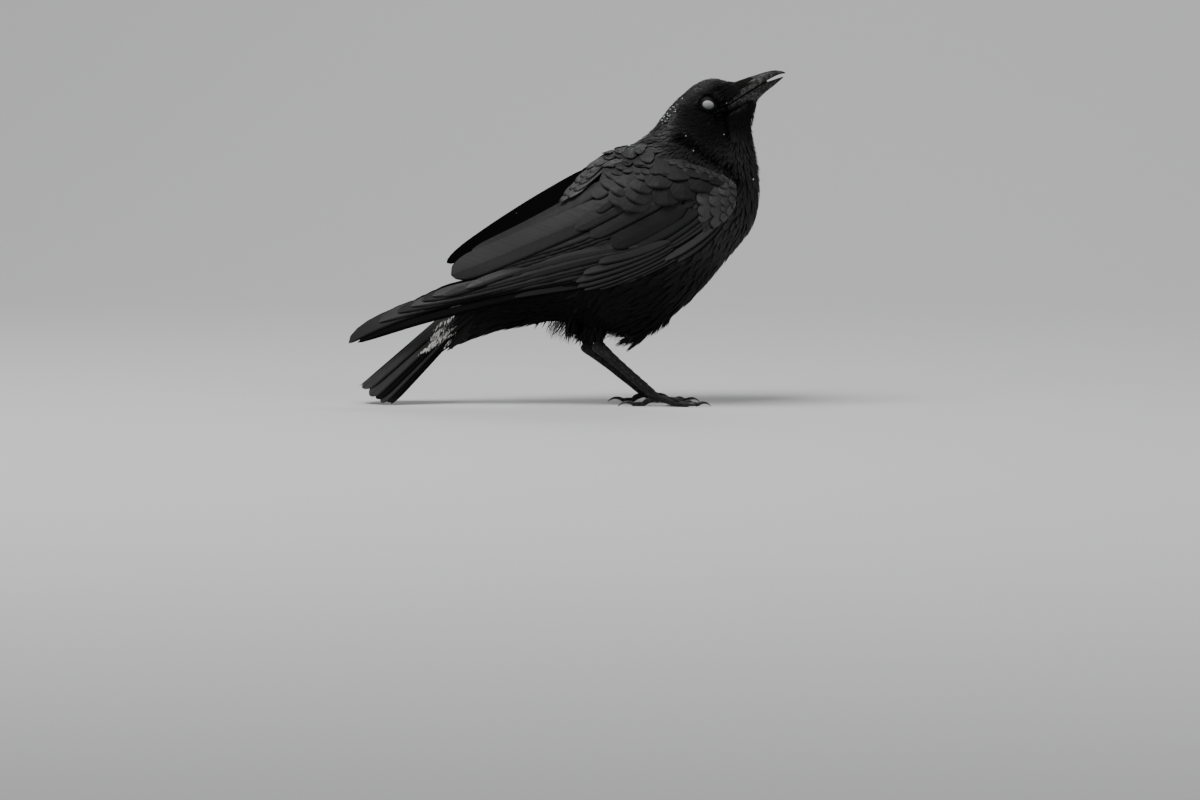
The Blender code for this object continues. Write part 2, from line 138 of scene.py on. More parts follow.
def noise(tree, scale, detail, **more):
    return node(tree, "TexNoise", Scale=scale, Detail=detail, **more).outputs[0]


def bump(tree, height, strength, distance):
    return node(tree, "Bump", Strength=strength, Distance=distance, Height=height).outputs[0]


def material(name, colour, roughness, specular=0.5):
    """A Principled material. Its node tree and its shader come back with it."""
    made = bpy.data.materials.new(name)
    made.use_nodes = True
    shader = made.node_tree.nodes["Principled BSDF"]
    feed(shader, Base_Color=(*colour, 1), Roughness=roughness, Specular_IOR_Level=specular)
    return made, made.node_tree, shader


bird_middle = (Vector(cad_box[0]) + Vector(cad_box[1])) / 2
look_at = Vector((bird_middle.x + LOOK_AHEAD, bird_middle.y, cad_box[0][2] + LOOK_UP))
lens = bpy.data.cameras.new("studio_camera")
lens.lens, lens.sensor_width, lens.clip_end = 200.0, 36.0, 60.0
camera = new_object("studio_camera", lens)
back_and_up = Vector((0, -math.cos(CAMERA_RISE), math.sin(CAMERA_RISE)))
aim(camera, look_at + CAMERA_AWAY * back_and_up, look_at)
bpy.context.scene.camera = camera

paper, paper_tree, paper_shader = material("studio_paper", (0.62, 0.62, 0.62), 0.9, 0.2)
feed(paper_shader, Normal=bump(paper_tree, noise(paper_tree, 900.0, 2.0), 0.05, 0.0003))
turns = [math.pi / 2 * step / SWEEP_STEPS for step in range(SWEEP_STEPS + 1)]
bend = [(SWEEP_REACH - SWEEP_RADIUS + math.sin(turn) * SWEEP_RADIUS, (1 - math.cos(turn)) * SWEEP_RADIUS)
        for turn in turns]
profile = [(SWEEP_FRONT, 0.0), *bend, (SWEEP_REACH, SWEEP_TOP)]
floor_points = [(x, y, z) for y, z in profile for x in (-SWEEP_HALF, SWEEP_HALF)]
floor_faces = [(2 * k, 2 * k + 1, 2 * k + 3, 2 * k + 2) for k in range(len(profile) - 1)]
new_object("studio_floor", mesh_of("studio_floor", floor_points, floor_faces, paper))

for name, (place, size, power) in SOFT_BOXES.items():
    light = bpy.data.lights.new(name, "AREA")
    light.shape = "RECTANGLE"
    light.size, light.size_y = size
    light.energy = power
    aim(new_object(name, light), place, bird_middle)
room = bpy.data.worlds.new("room")
room.use_nodes = True
feed(room.node_tree.nodes["Background"], Color=(0.95, 0.97, 1.0, 1), Strength=0.16)
bpy.context.scene.world = room

# ================================================================ skin
# The bird's skin is one sheet without seams over head, neck, trunk, rump, thighs and shoulders.
# It is the solids' own surface, melted together and drawn in by the depth of the coat.
chance = np.random.default_rng(20)
FLESH = ["head", "neck", "trunk", "undertail_coverts", "thigh_left", "thigh_right"]
SHOULDERS = ["wing_left_shoulder", "wing_right_shoulder"]
SKIN_VOXEL, SKIN_SMOOTHING = 1.7, 9
FACE_COAT, BODY_COAT, CHEEK_FADE = 0.9, 2.3, 15
BILL_RISE = math.radians(29.0)
HORN_TUCK = 0.64  # how far the skin narrows under the horn of the bill
SOCKET, SOCKET_RIM, LID_BULGE = 6.6, 9.5, 0.75


def node_surface(names):
    """Points in millimetres and faces of several of the frame's nodes together."""
    points, faces, start = [], [], 0
    for name in names:
        data = frame["nodes"][name].data
        points += [tuple(v.co / MM) for v in data.vertices]
        faces += [tuple(start + k for k in p.vertices) for p in data.polygons]
        start = len(points)
    return points, faces


def low_high(name):
    return [np.array(corner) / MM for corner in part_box(name)]


def spot(name, along, high):
    """A place in side view: shares of a node's box, from its rear and from its bottom."""
    low, top = low_high(name)
    return low[0] + (top[0] - low[0]) * along, low[2] + (top[2] - low[2]) * high


def melted(names, voxel, rounds):
    """One closed surface around several nodes, smoothed: its points, normals and faces."""
    raw = bpy.data.meshes.new("raw")
    points, faces = node_surface(names)
    raw.from_pydata(points, [], faces)
    solid = new_object("raw", raw)
    remesh = solid.modifiers.new("melt", "REMESH")
    remesh.mode = "VOXEL"
    remesh.voxel_size = voxel
    relax = solid.modifiers.new("relax", "SMOOTH")
    relax.factor = 0.5
    relax.iterations = rounds
    finished = solid.evaluated_get(bpy.context.evaluated_depsgraph_get())
    made = bpy.data.meshes.new_from_object(finished)
    bpy.data.objects.remove(solid)
    points, normals = np.empty(len(made.vertices) * 3), np.empty(len(made.vertices) * 3)
    made.vertices.foreach_get("co", points)
    made.vertices.foreach_get("normal", normals)
    return points.reshape(-1, 3), normals.reshape(-1, 3), [tuple(p.vertices) for p in made.polygons]


def surface_of(points, normals, faces):
    """A search tree over a surface, with each face's smooth normal."""
    tree = BVHTree.FromPolygons([tuple(p) for p in points], faces)
    of_face = np.array([normals[list(face)].mean(axis=0) for face in faces])
    return tree, of_face / np.linalg.norm(of_face, axis=1, keepdims=True)


def settle(surface, points):
    """The nearest places on a surface and the smooth normals there."""
    tree, of_face = surface
    flat = points.reshape(-1, 3)
    places, faces = np.empty_like(flat), np.empty(len(flat), int)
    for index, point in enumerate(flat):
        places[index], _, faces[index], _ = tree.find_nearest(point)
    return places.reshape(points.shape), of_face[faces].reshape(points.shape)


def near_line(points, line):
    """How far points lie from a line of places in side view."""
    line = np.array(line, float)
    best = np.full(len(points), np.inf)
    for start, stop in zip(line, line[1:]):
        ahead = stop - start
        share = np.clip((points[:, [0, 2]] - start) @ ahead / (ahead @ ahead), 0, 1)
        away = points[:, [0, 2]] - start - share[:, None] * ahead
        best = np.minimum(best, np.linalg.norm(away, axis=1))
    return best


bill_low = low_high("bill_upper")[0]
bill_root = np.array([bill_low[0] + 4.2, 0.0, bill_low[2] - 1.0])
bill_ahead = np.array([math.cos(BILL_RISE), 0, math.sin(BILL_RISE)])
bill_up = np.array([-math.sin(BILL_RISE), 0, math.cos(BILL_RISE)])


def horn_shows(points):
    """How far points are inside the bare side of the bill, in front of the gape: 0 to 1."""
    ahead, above = (points - bill_root) @ bill_ahead, (points - bill_root) @ bill_up
    shown = np.clip((ahead + 1.0 - 0.6 * np.minimum(0, above + 2)) / 2.5, 0, 1)
    shown = shown * np.clip((above + 6.6) / 1.2, 0, 1)
    return shown * np.clip((1.6 + 0.27 * ahead - above) / 1.5, 0, 1)


head_low, head_high = low_high("head")
outer_points, outer_normals, outer_faces = melted(FLESH + SHOULDERS, SKIN_VOXEL, SKIN_SMOOTHING)
face_share = np.clip((outer_points[:, 0] - head_low[0]) / (head_high[0] - head_low[0]), 0, 1)
face_share *= np.clip((outer_points[:, 2] - head_low[2] + CHEEK_FADE) / CHEEK_FADE, 0, 1)
coat_depth = BODY_COAT + (FACE_COAT - BODY_COAT) * face_share
# Creases: where the neck meets the shoulder, behind the gape, along the wing's front edge, and the flat
# lores. Each is a line of shares of a node's box, with its depth and half width. Along each one the coat
# is also made matt and dark: painted shade in the three folds, and the dark of the lores.
CREASES = [([spot(name, *share) for share in line], depth, half) for name, line, depth, half in (
    ("neck", ((0.27, 0.74), (0.4, 0.70), (0.54, 0.61), (0.68, 0.54), (0.80, 0.47)), 4.2, 3.4),
    ("neck", ((0.68, 0.92), (0.71, 0.83), (0.73, 0.74)), 1.8, 1.9),
    ("wing_right_shoulder", ((1.0, 0.72), (0.99, 0.56), (0.93, 0.44), (0.82, 0.27), (0.6, 0.14)),
     1.2, 2.0),
    ("head", ((0.58, 0.80), (0.56, 0.62), (0.57, 0.42)), 0.0, 5.2))]
beside = np.clip(np.abs(outer_points[:, 1]) / 6 - 0.5, 0, 1)
for line, depth, half in CREASES:
    coat_depth = coat_depth + depth * beside * np.exp(-((near_line(outer_points, line) / half) ** 2))
skin_points = outer_points - outer_normals * coat_depth[:, None]
skin_points[:, 1] *= 1 - HORN_TUCK * horn_shows(outer_points)

# The skin closes over the eye sockets, a little proud of its surroundings there.
eye_low, eye_high = low_high("eye_right")
eye_middle = (eye_low + eye_high) / 2
from_eye = skin_points[:, [0, 2]] - eye_middle[[0, 2]]
eye_away = np.linalg.norm(from_eye, axis=1)
outer_side = np.abs(skin_points[:, 1]) > 6
rim = outer_side & (eye_away > SOCKET + 0.8) & (eye_away < SOCKET_RIM)
fitted = np.column_stack([from_eye[rim], np.ones(rim.sum())])
plane = np.linalg.lstsq(fitted, np.abs(skin_points[rim, 1]), rcond=None)[0]
level = np.column_stack([from_eye, np.ones(len(from_eye))]) @ plane
closing = outer_side * np.clip((SOCKET + 0.9 - eye_away) / 0.9, 0, 1)
level = level + LID_BULGE * np.exp(-((eye_away - 6.0) / 1.6) ** 2)
fading = np.exp(-((np.maximum(eye_away, 7.0) - 7.0) / 1.2) ** 2)
closing = np.maximum(closing, outer_side * fading * 0.8)
closed = np.abs(skin_points[:, 1]) * (1 - closing) + level * closing
skin_points[:, 1] = np.sign(skin_points[:, 1]) * closed

# The skin opened along the belly and laid flat: along the spine, and round it from the back.
SPINE = np.array([(132, 238), (104, 230), (84, 202), (72, 172), (44, 130), (-18, 106), (-62, 82),
                  (-100, 48)])


def flat_places(points):
    """Where points of the skin lie on the flat unwrap, each from 0 to 1."""
    best = np.full(len(points), np.inf)
    along, turn = np.zeros(len(points)), np.zeros(len(points))
    place = points[:, [0, 2]]
    run = np.linalg.norm(np.diff(SPINE, axis=0), axis=1)
    for k, (start, stop) in enumerate(zip(SPINE, SPINE[1:])):
        ahead = (stop - start) / run[k]
        share = np.clip((place - start) @ ahead, 0, run[k])
        away = place - start - share[:, None] * ahead
        distance = np.linalg.norm(away, axis=1)
        nearer = distance < best
        best = np.where(nearer, distance, best)
        along = np.where(nearer, run[:k].sum() + share, along)
        above = away @ np.array([-ahead[1], ahead[0]])
        turn = np.where(nearer, np.arctan2(points[:, 1], above), turn)
    return np.stack([0.02 + 0.96 * along / run.sum(), 0.5 + 0.47 * turn / math.pi], axis=1)


def bake_map(data, places):
    """The flat map that the finished colours are laid out on: one place for each face corner."""
    layer = data.uv_layers.new(name="OFBake")
    layer.data.foreach_set("uv", np.ascontiguousarray(places, np.float32).ravel())


def mounted(name, data, slot, *replaced):
    """A piece in its place on the bird, with the nodes that it stands for."""
    piece = new_object(name, data)
    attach(piece, "root")
    if replaced:
        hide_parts(*replaced)
    return piece


def own_place(tree):
    return node(tree, "TexCoord").outputs["Object"]


def mixed(tree, share, first, second):
    """A colour between two others, which are plain colours or sockets."""
    colours = {f"i{k}": (*c, 1) if isinstance(c, tuple) else c for k, c in ((6, first), (7, second))}
    return node(tree, "Mix", {"data_type": "RGBA"}, i0=share, **colours).outputs[2]


skin_black, skin_tree, skin_shader = material("skin_black", (0.006, 0.006, 0.0065), 0.8, 0.25)
pores = noise(skin_tree, 1400.0, 3.0, Vector=own_place(skin_tree))
feed(skin_shader, Base_Color=mixed(skin_tree, pores, (0.003, 0.003, 0.003), (0.011, 0.011, 0.012)),
     Normal=bump(skin_tree, pores, 0.4, 0.0003))
skin_mesh = mesh_of("skin", skin_points * MM, outer_faces, skin_black)
bake_map(skin_mesh, flat_places(skin_points)[np.array([k for face in outer_faces for k in face])])
mounted("skin", skin_mesh, "feather", *FLESH, *SHOULDERS)
skin_surface = surface_of(skin_points, outer_normals, outer_faces)

# ================================================================ coat: how the feathers lie
# A crow's body feathers all point from the bill to the tail, down the throat and round the breast.
# They are hair-fine on the face, small scales on the mantle, and long and loose below.
GUIDE_BLEND = 60.0
VANE_MAP = 400.0  # millimetres across the whole of a vane's own map
PATCH = 0.003
VANE_CREASE = math.radians(75)
BARB_PITCH, BARB_SLOPE, STREAK_SIZE = 0.5, 1.2, 1.4
# The first colour is a feather's colour without gloss: the down's own matt colour, and also painted shade
# where a rim or a low gloss stands in for shade.
MATT_DOWN_AND_SHADE, WORN, MARK_WHITE = (0.0022, 0.0022, 0.0023), (0.03, 0.028, 0.026), (0.62, 0.61, 0.59)
# Each guide: node, shares along and up its box, lie in degrees from ahead, then in millimetres a
# feather's length, half width, the distance to the next one and how far its tip lies off the skin,
# and last its gloss, from 0 for matt down to 1 for a smooth shiny vane.
# Gloss also sets how light the colour is. The low gloss under the body and on the cheeks and lores is
# partly the down's own matt look and partly painted shade.
COAT_GUIDES = (
    ("head", 0.50, 0.95, 172, 4.8, 0.9, 1.4, 1.0, 1.2),  # forehead
    ("head", 0.40, 0.99, 180, 5.5, 1.05, 1.6, 1.1, 1.5),  # crown
    ("head", 0.15, 0.84, 212, 6.5, 1.0, 1.6, 1.1, 1.15),  # rear crown
    ("neck", 0.16, 0.95, 236, 8.0, 1.1, 1.9, 1.4, 1.5),  # nape
    ("neck", 0.00, 0.75, 226, 9.5, 1.6, 2.5, 1.8, 1.25),  # hind neck
    ("head", 0.59, 0.61, 190, 3.5, 0.5, 0.9, 1.0, 0),  # lores
    ("head", 0.53, 0.70, 182, 3.5, 0.5, 0.9, 1.0, 0),  # above the lores
    ("head", 0.60, 0.45, 200, 3.6, 0.5, 0.9, 1.0, 0),  # below the lores
    ("head", 0.42, 0.55, 185, 3.4, 0.55, 0.9, 1.0, 0.05),  # round the eye
    ("head", 0.23, 0.43, 207, 6.5, 0.75, 1.15, 1.3, 0.22),  # ear
    ("head", 0.47, 0.24, 222, 6.0, 0.75, 1.15, 1.3, 0.18),  # cheek
    ("head", 0.84, 0.41, 238, 6.5, 0.6, 1.2, 2.2, 0.3),  # chin
    ("neck", 0.92, 0.71, 262, 12, 0.8, 1.7, 3.2, 1.0),  # throat
    ("neck", 0.97, 0.46, 268, 14, 1.0, 2.0, 2.3, 0.75),  # fore neck
    ("neck", 0.42, 0.60, 240, 11, 1.2, 2.0, 1.8, 0.42),  # side of the neck
    ("trunk", 1.04, 0.66, 262, 16, 1.5, 2.5, 2.4, 0.7),  # crop
    ("trunk", 0.99, 0.45, 246, 18, 1.9, 3.0, 2.4, 0.6),  # breast
    ("trunk", 0.86, 0.30, 226, 20, 2.1, 3.3, 2.4, 0.3),  # keel
    ("trunk", 0.62, 0.09, 206, 22, 1.9, 3.3, 2.4, 0.14),  # belly
    ("trunk", 0.54, 0.25, 203, 24, 2.6, 3.8, 2.4, 0.2),  # flank
    ("trunk", 0.31, 0.05, 238, 11, 1.1, 2.1, 1.6, 0.1),  # thigh
    ("trunk", 0.10, 0.07, 184, 18, 1.4, 2.8, 2.2, 0.1),  # vent
    ("undertail_coverts", 0.53, 0.14, 196, 26, 2.6, 4.0, 2.0, 0.2),  # under the tail
    ("undertail_coverts", 0.57, 0.72, 214, 22, 4.0, 5.5, 2.2, 0.4),  # rump
    ("trunk", 0.12, 0.66, 209, 18, 4.0, 5.0, 2.2, 0.9),  # back
    ("trunk", 0.40, 0.90, 207, 13, 3.4, 4.0, 2.2, 1.0),  # mantle
    ("trunk", 0.90, 0.75, 240, 12, 1.8, 2.6, 2.0, 0.6),  # front of the shoulder
    ("wing_right_shoulder", 0.90, 0.52, 200, 8, 2.3, 3.0, 1.9, 1.0),  # wrist
    ("wing_right_shoulder", 0.78, 0.42, 200, 9, 2.3, 3.2, 1.9, 1.0),  # below the wrist
)
guide_places = np.array([spot(*guide[:3]) for guide in COAT_GUIDES])
guide_lies = np.radians([guide[3] for guide in COAT_GUIDES])
guide_sizes = np.array([guide[4:] for guide in COAT_GUIDES])


def guided(points):
    """The lie of the coat at places, and length, half width, spacing, lift and gloss there."""
    flat = points.reshape(-1, 3)
    away = ((flat[:, None, [0, 2]] - guide_places[None]) ** 2).sum(axis=2)
    weight = 1 / (away + GUIDE_BLEND) ** 2
    weight /= weight.sum(axis=1, keepdims=True)
    ahead, up = weight @ np.cos(guide_lies), weight @ np.sin(guide_lies)
    lie = np.stack([ahead, np.zeros(len(flat)), up], axis=1)
    sizes = weight @ guide_sizes
    # Gloss falls almost to nothing along every crease line, so the coat there turns matt and dark: painted
    # shade in the folds, and the darker lores.
    for line, _, half in CREASES:
        sizes[:, 4] *= 1 - 0.95 * np.exp(-((near_line(flat, line) / half) ** 2))
    return lie.reshape(points.shape), sizes


def unit(vectors):
    return vectors / np.maximum(np.linalg.norm(vectors, axis=-1, keepdims=True), 1e-9)


def in_surface(course, normal):
    """Courses turned flat onto a surface."""
    return unit(course - normal * (course * normal).sum(axis=1, keepdims=True))


def march(surface, roots, lengths, shares, yaw):
    """Each feather's middle line along a surface, with its sideways directions and normals."""
    place, normal = settle(surface, roots)
    steps, last = [], 0.0
    for share in shares:
        ahead = in_surface(unit(guided(place)[0]), normal)
        ahead = ahead * np.cos(yaw)[:, None] + np.cross(normal, ahead) * np.sin(yaw)[:, None]
        place, normal = settle(surface, place + ahead * (lengths * (share - last))[:, None])
        last = share
        steps.append((place, unit(np.cross(ahead, normal)), normal))
    return [np.stack(kind, 1) for kind in zip(*steps)]


def vanes(name, tops, along, across, flat, finish, gloss_and_shade=1.0, marks=0.0, painted_shade=0.0, replaced=()):
    """A mesh of many closed thin vanes. tops is each vane's upper face: vane, row, column, xyz.

    Its own map runs along and across each vane in millimetres. The bake map puts each vane on a
    small patch at its root's place on the flat skin, or, without one, in a strip of its own."""
    count, rows, columns = tops.shape[:3]
    grid = np.arange(rows * columns).reshape(rows, columns)
    faces = []
    for r in range(rows - 1):
        for c in range(columns - 1):
            faces.append((grid[r, c], grid[r, c + 1], grid[r + 1, c + 1], grid[r + 1, c]))
        faces.append((grid[r, 0], grid[r + 1, 0], grid[r + 1, -1], grid[r, -1]))
    faces += [tuple(grid[0, ::-1]), tuple(grid[-1])]
    pattern = np.array([k for face in faces for k in face])
    sizes = np.array([len(face) for face in faces])
    loops = (pattern[None] + (np.arange(count) * rows * columns)[:, None]).ravel()
    starts = np.concatenate([[0], np.cumsum(np.tile(sizes, count))[:-1]])
    data = bpy.data.meshes.new(name)
    data.vertices.add(count * rows * columns)
    data.vertices.foreach_set("co", (tops * MM).astype(np.float32).ravel())
    data.loops.add(len(loops))
    data.loops.foreach_set("vertex_index", loops.astype(np.int32))
    data.polygons.add(len(starts))
    data.polygons.foreach_set("loop_start", starts.astype(np.int32))
    data.update(calc_edges=True)
    data.shade_smooth()
    data.set_sharp_from_angle(angle=VANE_CREASE)
    along_all = np.broadcast_to(along[:, :, None], across.shape)
    own = np.stack([along_all, across], axis=-1).reshape(-1, 2)
    layer = data.uv_layers.new(name="vane")
    layer.data.foreach_set("uv", (own[loops] / VANE_MAP + 0.5).astype(np.float32).ravel())
    run = along_all / along[:, -1][:, None, None]
    width = across / np.maximum(np.abs(across).max(axis=(1, 2)), 1e-6)[:, None, None]
    if flat is None:
        slots = (np.arange(count)[:, None, None] + 0.5 + 0.44 * width) / count
        patch = np.stack([slots, 0.02 + 0.96 * run], axis=-1)
    else:
        patch = flat[:, None, None] + np.stack([width * 0.5, run - 0.5], axis=-1) * PATCH
    bake_map(data, patch.reshape(-1, 2)[loops])
    # rim: painted shade along a vane's edge, from 0 to 1.
    values = {"run": run, "mark": marks, "rim": painted_shade}
    for label, of_vane in (("tone", chance.random(count)), ("gloss_and_shade", gloss_and_shade)):
        values[label] = np.broadcast_to(of_vane, count)[:, None, None]
    for label, numbers in values.items():
        layer = data.attributes.new(label, "FLOAT", "POINT")
        numbers = np.broadcast_to(numbers, run.shape)
        layer.data.foreach_set("value", np.asarray(numbers, np.float32).ravel())
    data.materials.append(finish)
    return mounted(name, data, "feather", *replaced)


def calc(tree, value, *steps):
    """Sums on a value, one after another: for each a sign and the number or socket it takes."""
    signs = {"+": "ADD", "-": "SUBTRACT", "*": "MULTIPLY", "^": "POWER", "max": "MAXIMUM",
             "size": "ABSOLUTE", "wave": "SINE"}
    for sign, other in zip(steps[::2], steps[1::2]):
        value = node(tree, "Math", {"operation": signs[sign]}, i0=value, i1=other).outputs[0]
    return value


def ranged(tree, value, low, high, to_low=0.0, to_high=1.0):
    return node(tree, "MapRange", i0=value, i1=low, i2=high, i3=to_low, i4=to_high).outputs[0]


def reading(tree, label):
    return node(tree, "Attribute", {"attribute_name": label}).outputs["Fac"]


def barb_group():
    """Barbs leaving a feather's shaft: a height, a mask streaked along them, and ragged patches."""
    group = bpy.data.node_groups.new("barbs", "ShaderNodeTree")
    for label in ("Shaft Height", "Height", "Streak", "Patch"):
        way = "INPUT" if label == "Shaft Height" else "OUTPUT"
        group.interface.new_socket(name=label, in_out=way, socket_type="NodeSocketFloat")
    asked = group.nodes.new("NodeGroupInput").outputs
    own = node(group, "SeparateXYZ", Vector=node(group, "UVMap", {"uv_map": "vane"}).outputs[0]).outputs
    along, out = (calc(group, own[k], "-", 0.5, "*", VANE_MAP) for k in (0, 1))
    aside = calc(group, out, "size", 0.0)
    barb = calc(group, along, "-", calc(group, aside, "*", BARB_SLOPE))
    tone = reading(group, "tone")

    def ragged(barb_scale, out_scale, tone_scale, **more):
        place = node(group, "CombineXYZ", i0=calc(group, barb, "*", barb_scale),
                     i1=calc(group, out, "*", out_scale), i2=calc(group, tone, "*", tone_scale))
        return noise(group, 1.0, Vector=place.outputs[0], **more)

    streak = ragged(1 / STREAK_SIZE, 0.07, 90.0, detail=3.0)
    wave = calc(group, barb, "*", 2 * math.pi / BARB_PITCH, "wave", 0.0, "*", 0.2, "+", streak)
    shaft = calc(group, 1.0, "-", calc(group, aside, "*", 2.2), "max", 0.0, "*", asked[0])
    feed(group.nodes.new("NodeGroupOutput"), Height=calc(group, wave, "+", shaft), Streak=streak,
         Patch=ragged(0.8, 0.4, 40.0, detail=5.0, Roughness=0.6))
    return group


barbs = barb_group()


def feather_finish(name, dark, light, roughness, specular, relief, shaft=1.0):
    """Black feather: dark and light set the streaks, and the tip of an old vane is bleached.

    Each vane carries its own tone and gloss, and the gloss also sets how light its colour is. Its rim is
    painted shade: matt and dark where the next vane would shade it. A mark is a white patch over some of
    its barbs."""
    made, tree, shader = material(name, dark, roughness[0], specular)
    effect = node(tree, "Group", {"node_tree": barbs}, Shaft_Height=shaft).outputs
    streak = effect["Streak"]
    # Painted shade: the rim takes gloss and colour down to matt dark along the vane's edge.
    gloss_and_shade = calc(tree, reading(tree, "gloss_and_shade"), "*", calc(tree, 1.0, "-", reading(tree, "rim")))
    share = calc(tree, reading(tree, "tone"), "-", 0.5, "*", 0.3, "+", calc(tree, streak, "*", 0.9))
    shade = mixed(tree, share, dark, light)
    shade = mixed(tree, calc(tree, reading(tree, "run"), "^", 6.0, "*", streak), shade, WORN)
    shade = mixed(tree, gloss_and_shade, MATT_DOWN_AND_SHADE, shade)
    white_mark = calc(tree, effect["Patch"], "*", 3.0, "+", reading(tree, "mark"))
    matt = calc(tree, calc(tree, 1.0, "-", gloss_and_shade), "*", 0.3)
    feed(shader, Base_Color=mixed(tree, ranged(tree, white_mark, 2.2, 2.45), shade, MARK_WHITE),
         Specular_IOR_Level=calc(tree, gloss_and_shade, "*", 0.97, "+", 0.03, "*", specular),
         Roughness=calc(tree, ranged(tree, streak, 0.3, 0.7, *roughness), "+", matt),
         Normal=bump(tree, effect["Height"], relief, 0.0003))
    return made


# ================================================================ wing surface in side view
# The closed wings lie against the body like two shallow shells. Their outer faces, read from the
# solids and smoothed, carry every covert, secondary and primary at its own depth in the stack.
SIDE_CELL, SIDE_MARGIN, SIDE_ROUNDS = 2.0, 16, 7
EDGE_CELLS = 2  # the feathers at the lower edge stay as flat as those above them
ARM_NODES, HAND_NODES = ["wing_right_shoulder", "wing_right_secondaries"], ["wing_right_primaries"]


def neighbours(grid, reach, **edge):
    """A grid's cells with all those around them, one layer for each."""
    padded = np.pad(grid, reach, **edge)
    steps = range(2 * reach + 1)
    return np.stack([padded[a : a + grid.shape[0], b : b + grid.shape[1]] for a in steps for b in steps])


def side_height(points, faces):
    """How far out of the middle plane a wing reaches, on a grid in side view, and where it is."""
    tree = BVHTree.FromPolygons(points, faces)
    low = np.min(points, axis=0)[[0, 2]] - SIDE_MARGIN
    high = np.max(points, axis=0)[[0, 2]] + SIDE_MARGIN
    columns, rows = np.ceil((high - low) / SIDE_CELL).astype(int) + 1
    out = np.full((columns, rows), np.nan)
    for i, j in np.ndindex(columns, rows):
        hit = tree.ray_cast((low[0] + i * SIDE_CELL, -200.0, low[1] + j * SIDE_CELL), (0, 1, 0))[0]
        if hit is not None:
            out[i, j] = -hit.y
    there = (~np.isnan(out)).astype(float)
    below = np.pad(there, ((0, 0), (EDGE_CELLS, 0)))[:, :rows]
    out[below < 0.5] = np.nan
    while np.isnan(out).any():
        around = neighbours(out, 1, constant_values=np.nan)
        known = ~np.isnan(around)
        mean = np.where(known, around, 0).sum(axis=0) / np.maximum(known.sum(axis=0), 1)
        out = np.where(np.isnan(out) & known.any(axis=0), mean, out)
    for _ in range(SIDE_ROUNDS):
        out = sum(neighbours(out, 1, mode="edge")) / 9
    return low, out, sum(neighbours(there, 2)) / 25


def read_grid(grid, x, z, layer=1):
    low, values = grid[0], grid[layer]
    i = np.clip((x - low[0]) / SIDE_CELL, 0, values.shape[0] - 1.001)
    j = np.clip((z - low[1]) / SIDE_CELL, 0, values.shape[1] - 1.001)
    i0, j0 = i.astype(int), j.astype(int)
    di, dj = i - i0, j - j0
    near = values[i0, j0] * (1 - dj) + values[i0, j0 + 1] * dj
    far = values[i0 + 1, j0] * (1 - dj) + values[i0 + 1, j0 + 1] * dj
    return near * (1 - di) + far * di


def above_body(x, z):
    """How far out the skin reaches beneath a closed wing. Far below zero where there is none."""
    there = read_grid(body_height, x, z, 2)
    return read_grid(body_height, x, z) - 8 * (1 - there) - np.where(there > 0.05, 0, 100)


arm_height, hand_height, wing_height = (side_height(*node_surface(names)) for names in (
    ARM_NODES, HAND_NODES, ARM_NODES + HAND_NODES))
body_height = side_height([tuple(p) for p in skin_points], outer_faces)
hull_surface = surface_of(*melted(FLESH + SHOULDERS + ["wing_left_secondaries", "wing_right_secondaries"],
                                  SKIN_VOXEL * 1.3, SKIN_SMOOTHING))
# Places on the wing: millimetres along from the wrist to the wing's point, and up from that line.
wrist = np.array(spot("wing_right_shoulder", 0.976, 0.589))
point = np.array(spot("wing_right_primaries", 0.0, 0.0))
wing_ahead = (point - wrist) / np.linalg.norm(point - wrist)
wing_up = np.array([wing_ahead[1], -wing_ahead[0]])


def in_side_view(flat):
    """X and Z of places on the wing."""
    return (wrist[k] + flat[..., 0] * wing_ahead[k] + flat[..., 1] * wing_up[k] for k in (0, 1))


# ================================================================ coat of the head, neck and body
# Thousands of small pointed feathers over the skin, scattered evenly and each laid along the
# coat. A feather's root is in the skin and its tip lies over the roots of the next ones.
EYE_BARE = (4.5, 3.3)
CROWDING = 5.5  # places tried for each one that is kept
ROOT_SINK, RUFFLE, CAMBER, ROLL = 0.5, 0.12, 0.25, 0.1
BROAD_FROM = 2.75
SOFT_SHAPE = ((0.0, 0.45), (0.3, 0.9), (0.6, 1.0), (0.85, 0.6), (1.0, 0.1))
SCALE_SHAPE = ((0.0, 0.4), (0.2, 0.75), (0.4, 0.95), (0.6, 1.0), (0.8, 0.93), (0.9, 0.74), (0.97, 0.44),
               (1.0, 0.15))


def scattered(points, faces, keep):
    """Evenly spread root places on a surface, as close together as the coat guides say."""
    corners = np.array([face[:4] if len(face) > 3 else (*face, face[0]) for face in faces])
    a, b, c, d = (points[corners[:, k]] for k in range(4))
    halves = [np.linalg.norm(np.cross(one - a, other - a), axis=1) for one, other in ((b, c), (c, d))]
    middle = (a + b + c + d) / 4
    spacing = guided(middle)[1][:, 2]
    wanted = np.where(keep(middle), (halves[0] + halves[1]) / 2 / spacing**2, 0)
    total = int(wanted.sum() * CROWDING)
    chosen = chance.choice(len(faces), size=total, p=wanted / wanted.sum())
    one, two = chance.random((2, total, 1))
    tries = a[chosen] * (1 - one) * (1 - two) + b[chosen] * one * (1 - two)
    tries += c[chosen] * one * two + d[chosen] * (1 - one) * two
    tree = KDTree(total)
    for index, place in enumerate(tries):
        tree.insert(place, index)
    tree.balance()
    free = np.ones(total, bool)
    kept = []
    for index in range(total):
        if free[index]:
            kept.append(index)
            for _, other, _ in tree.find_range(tries[index], spacing[chosen[index]]):
                free[other] = False
    return tries[kept]


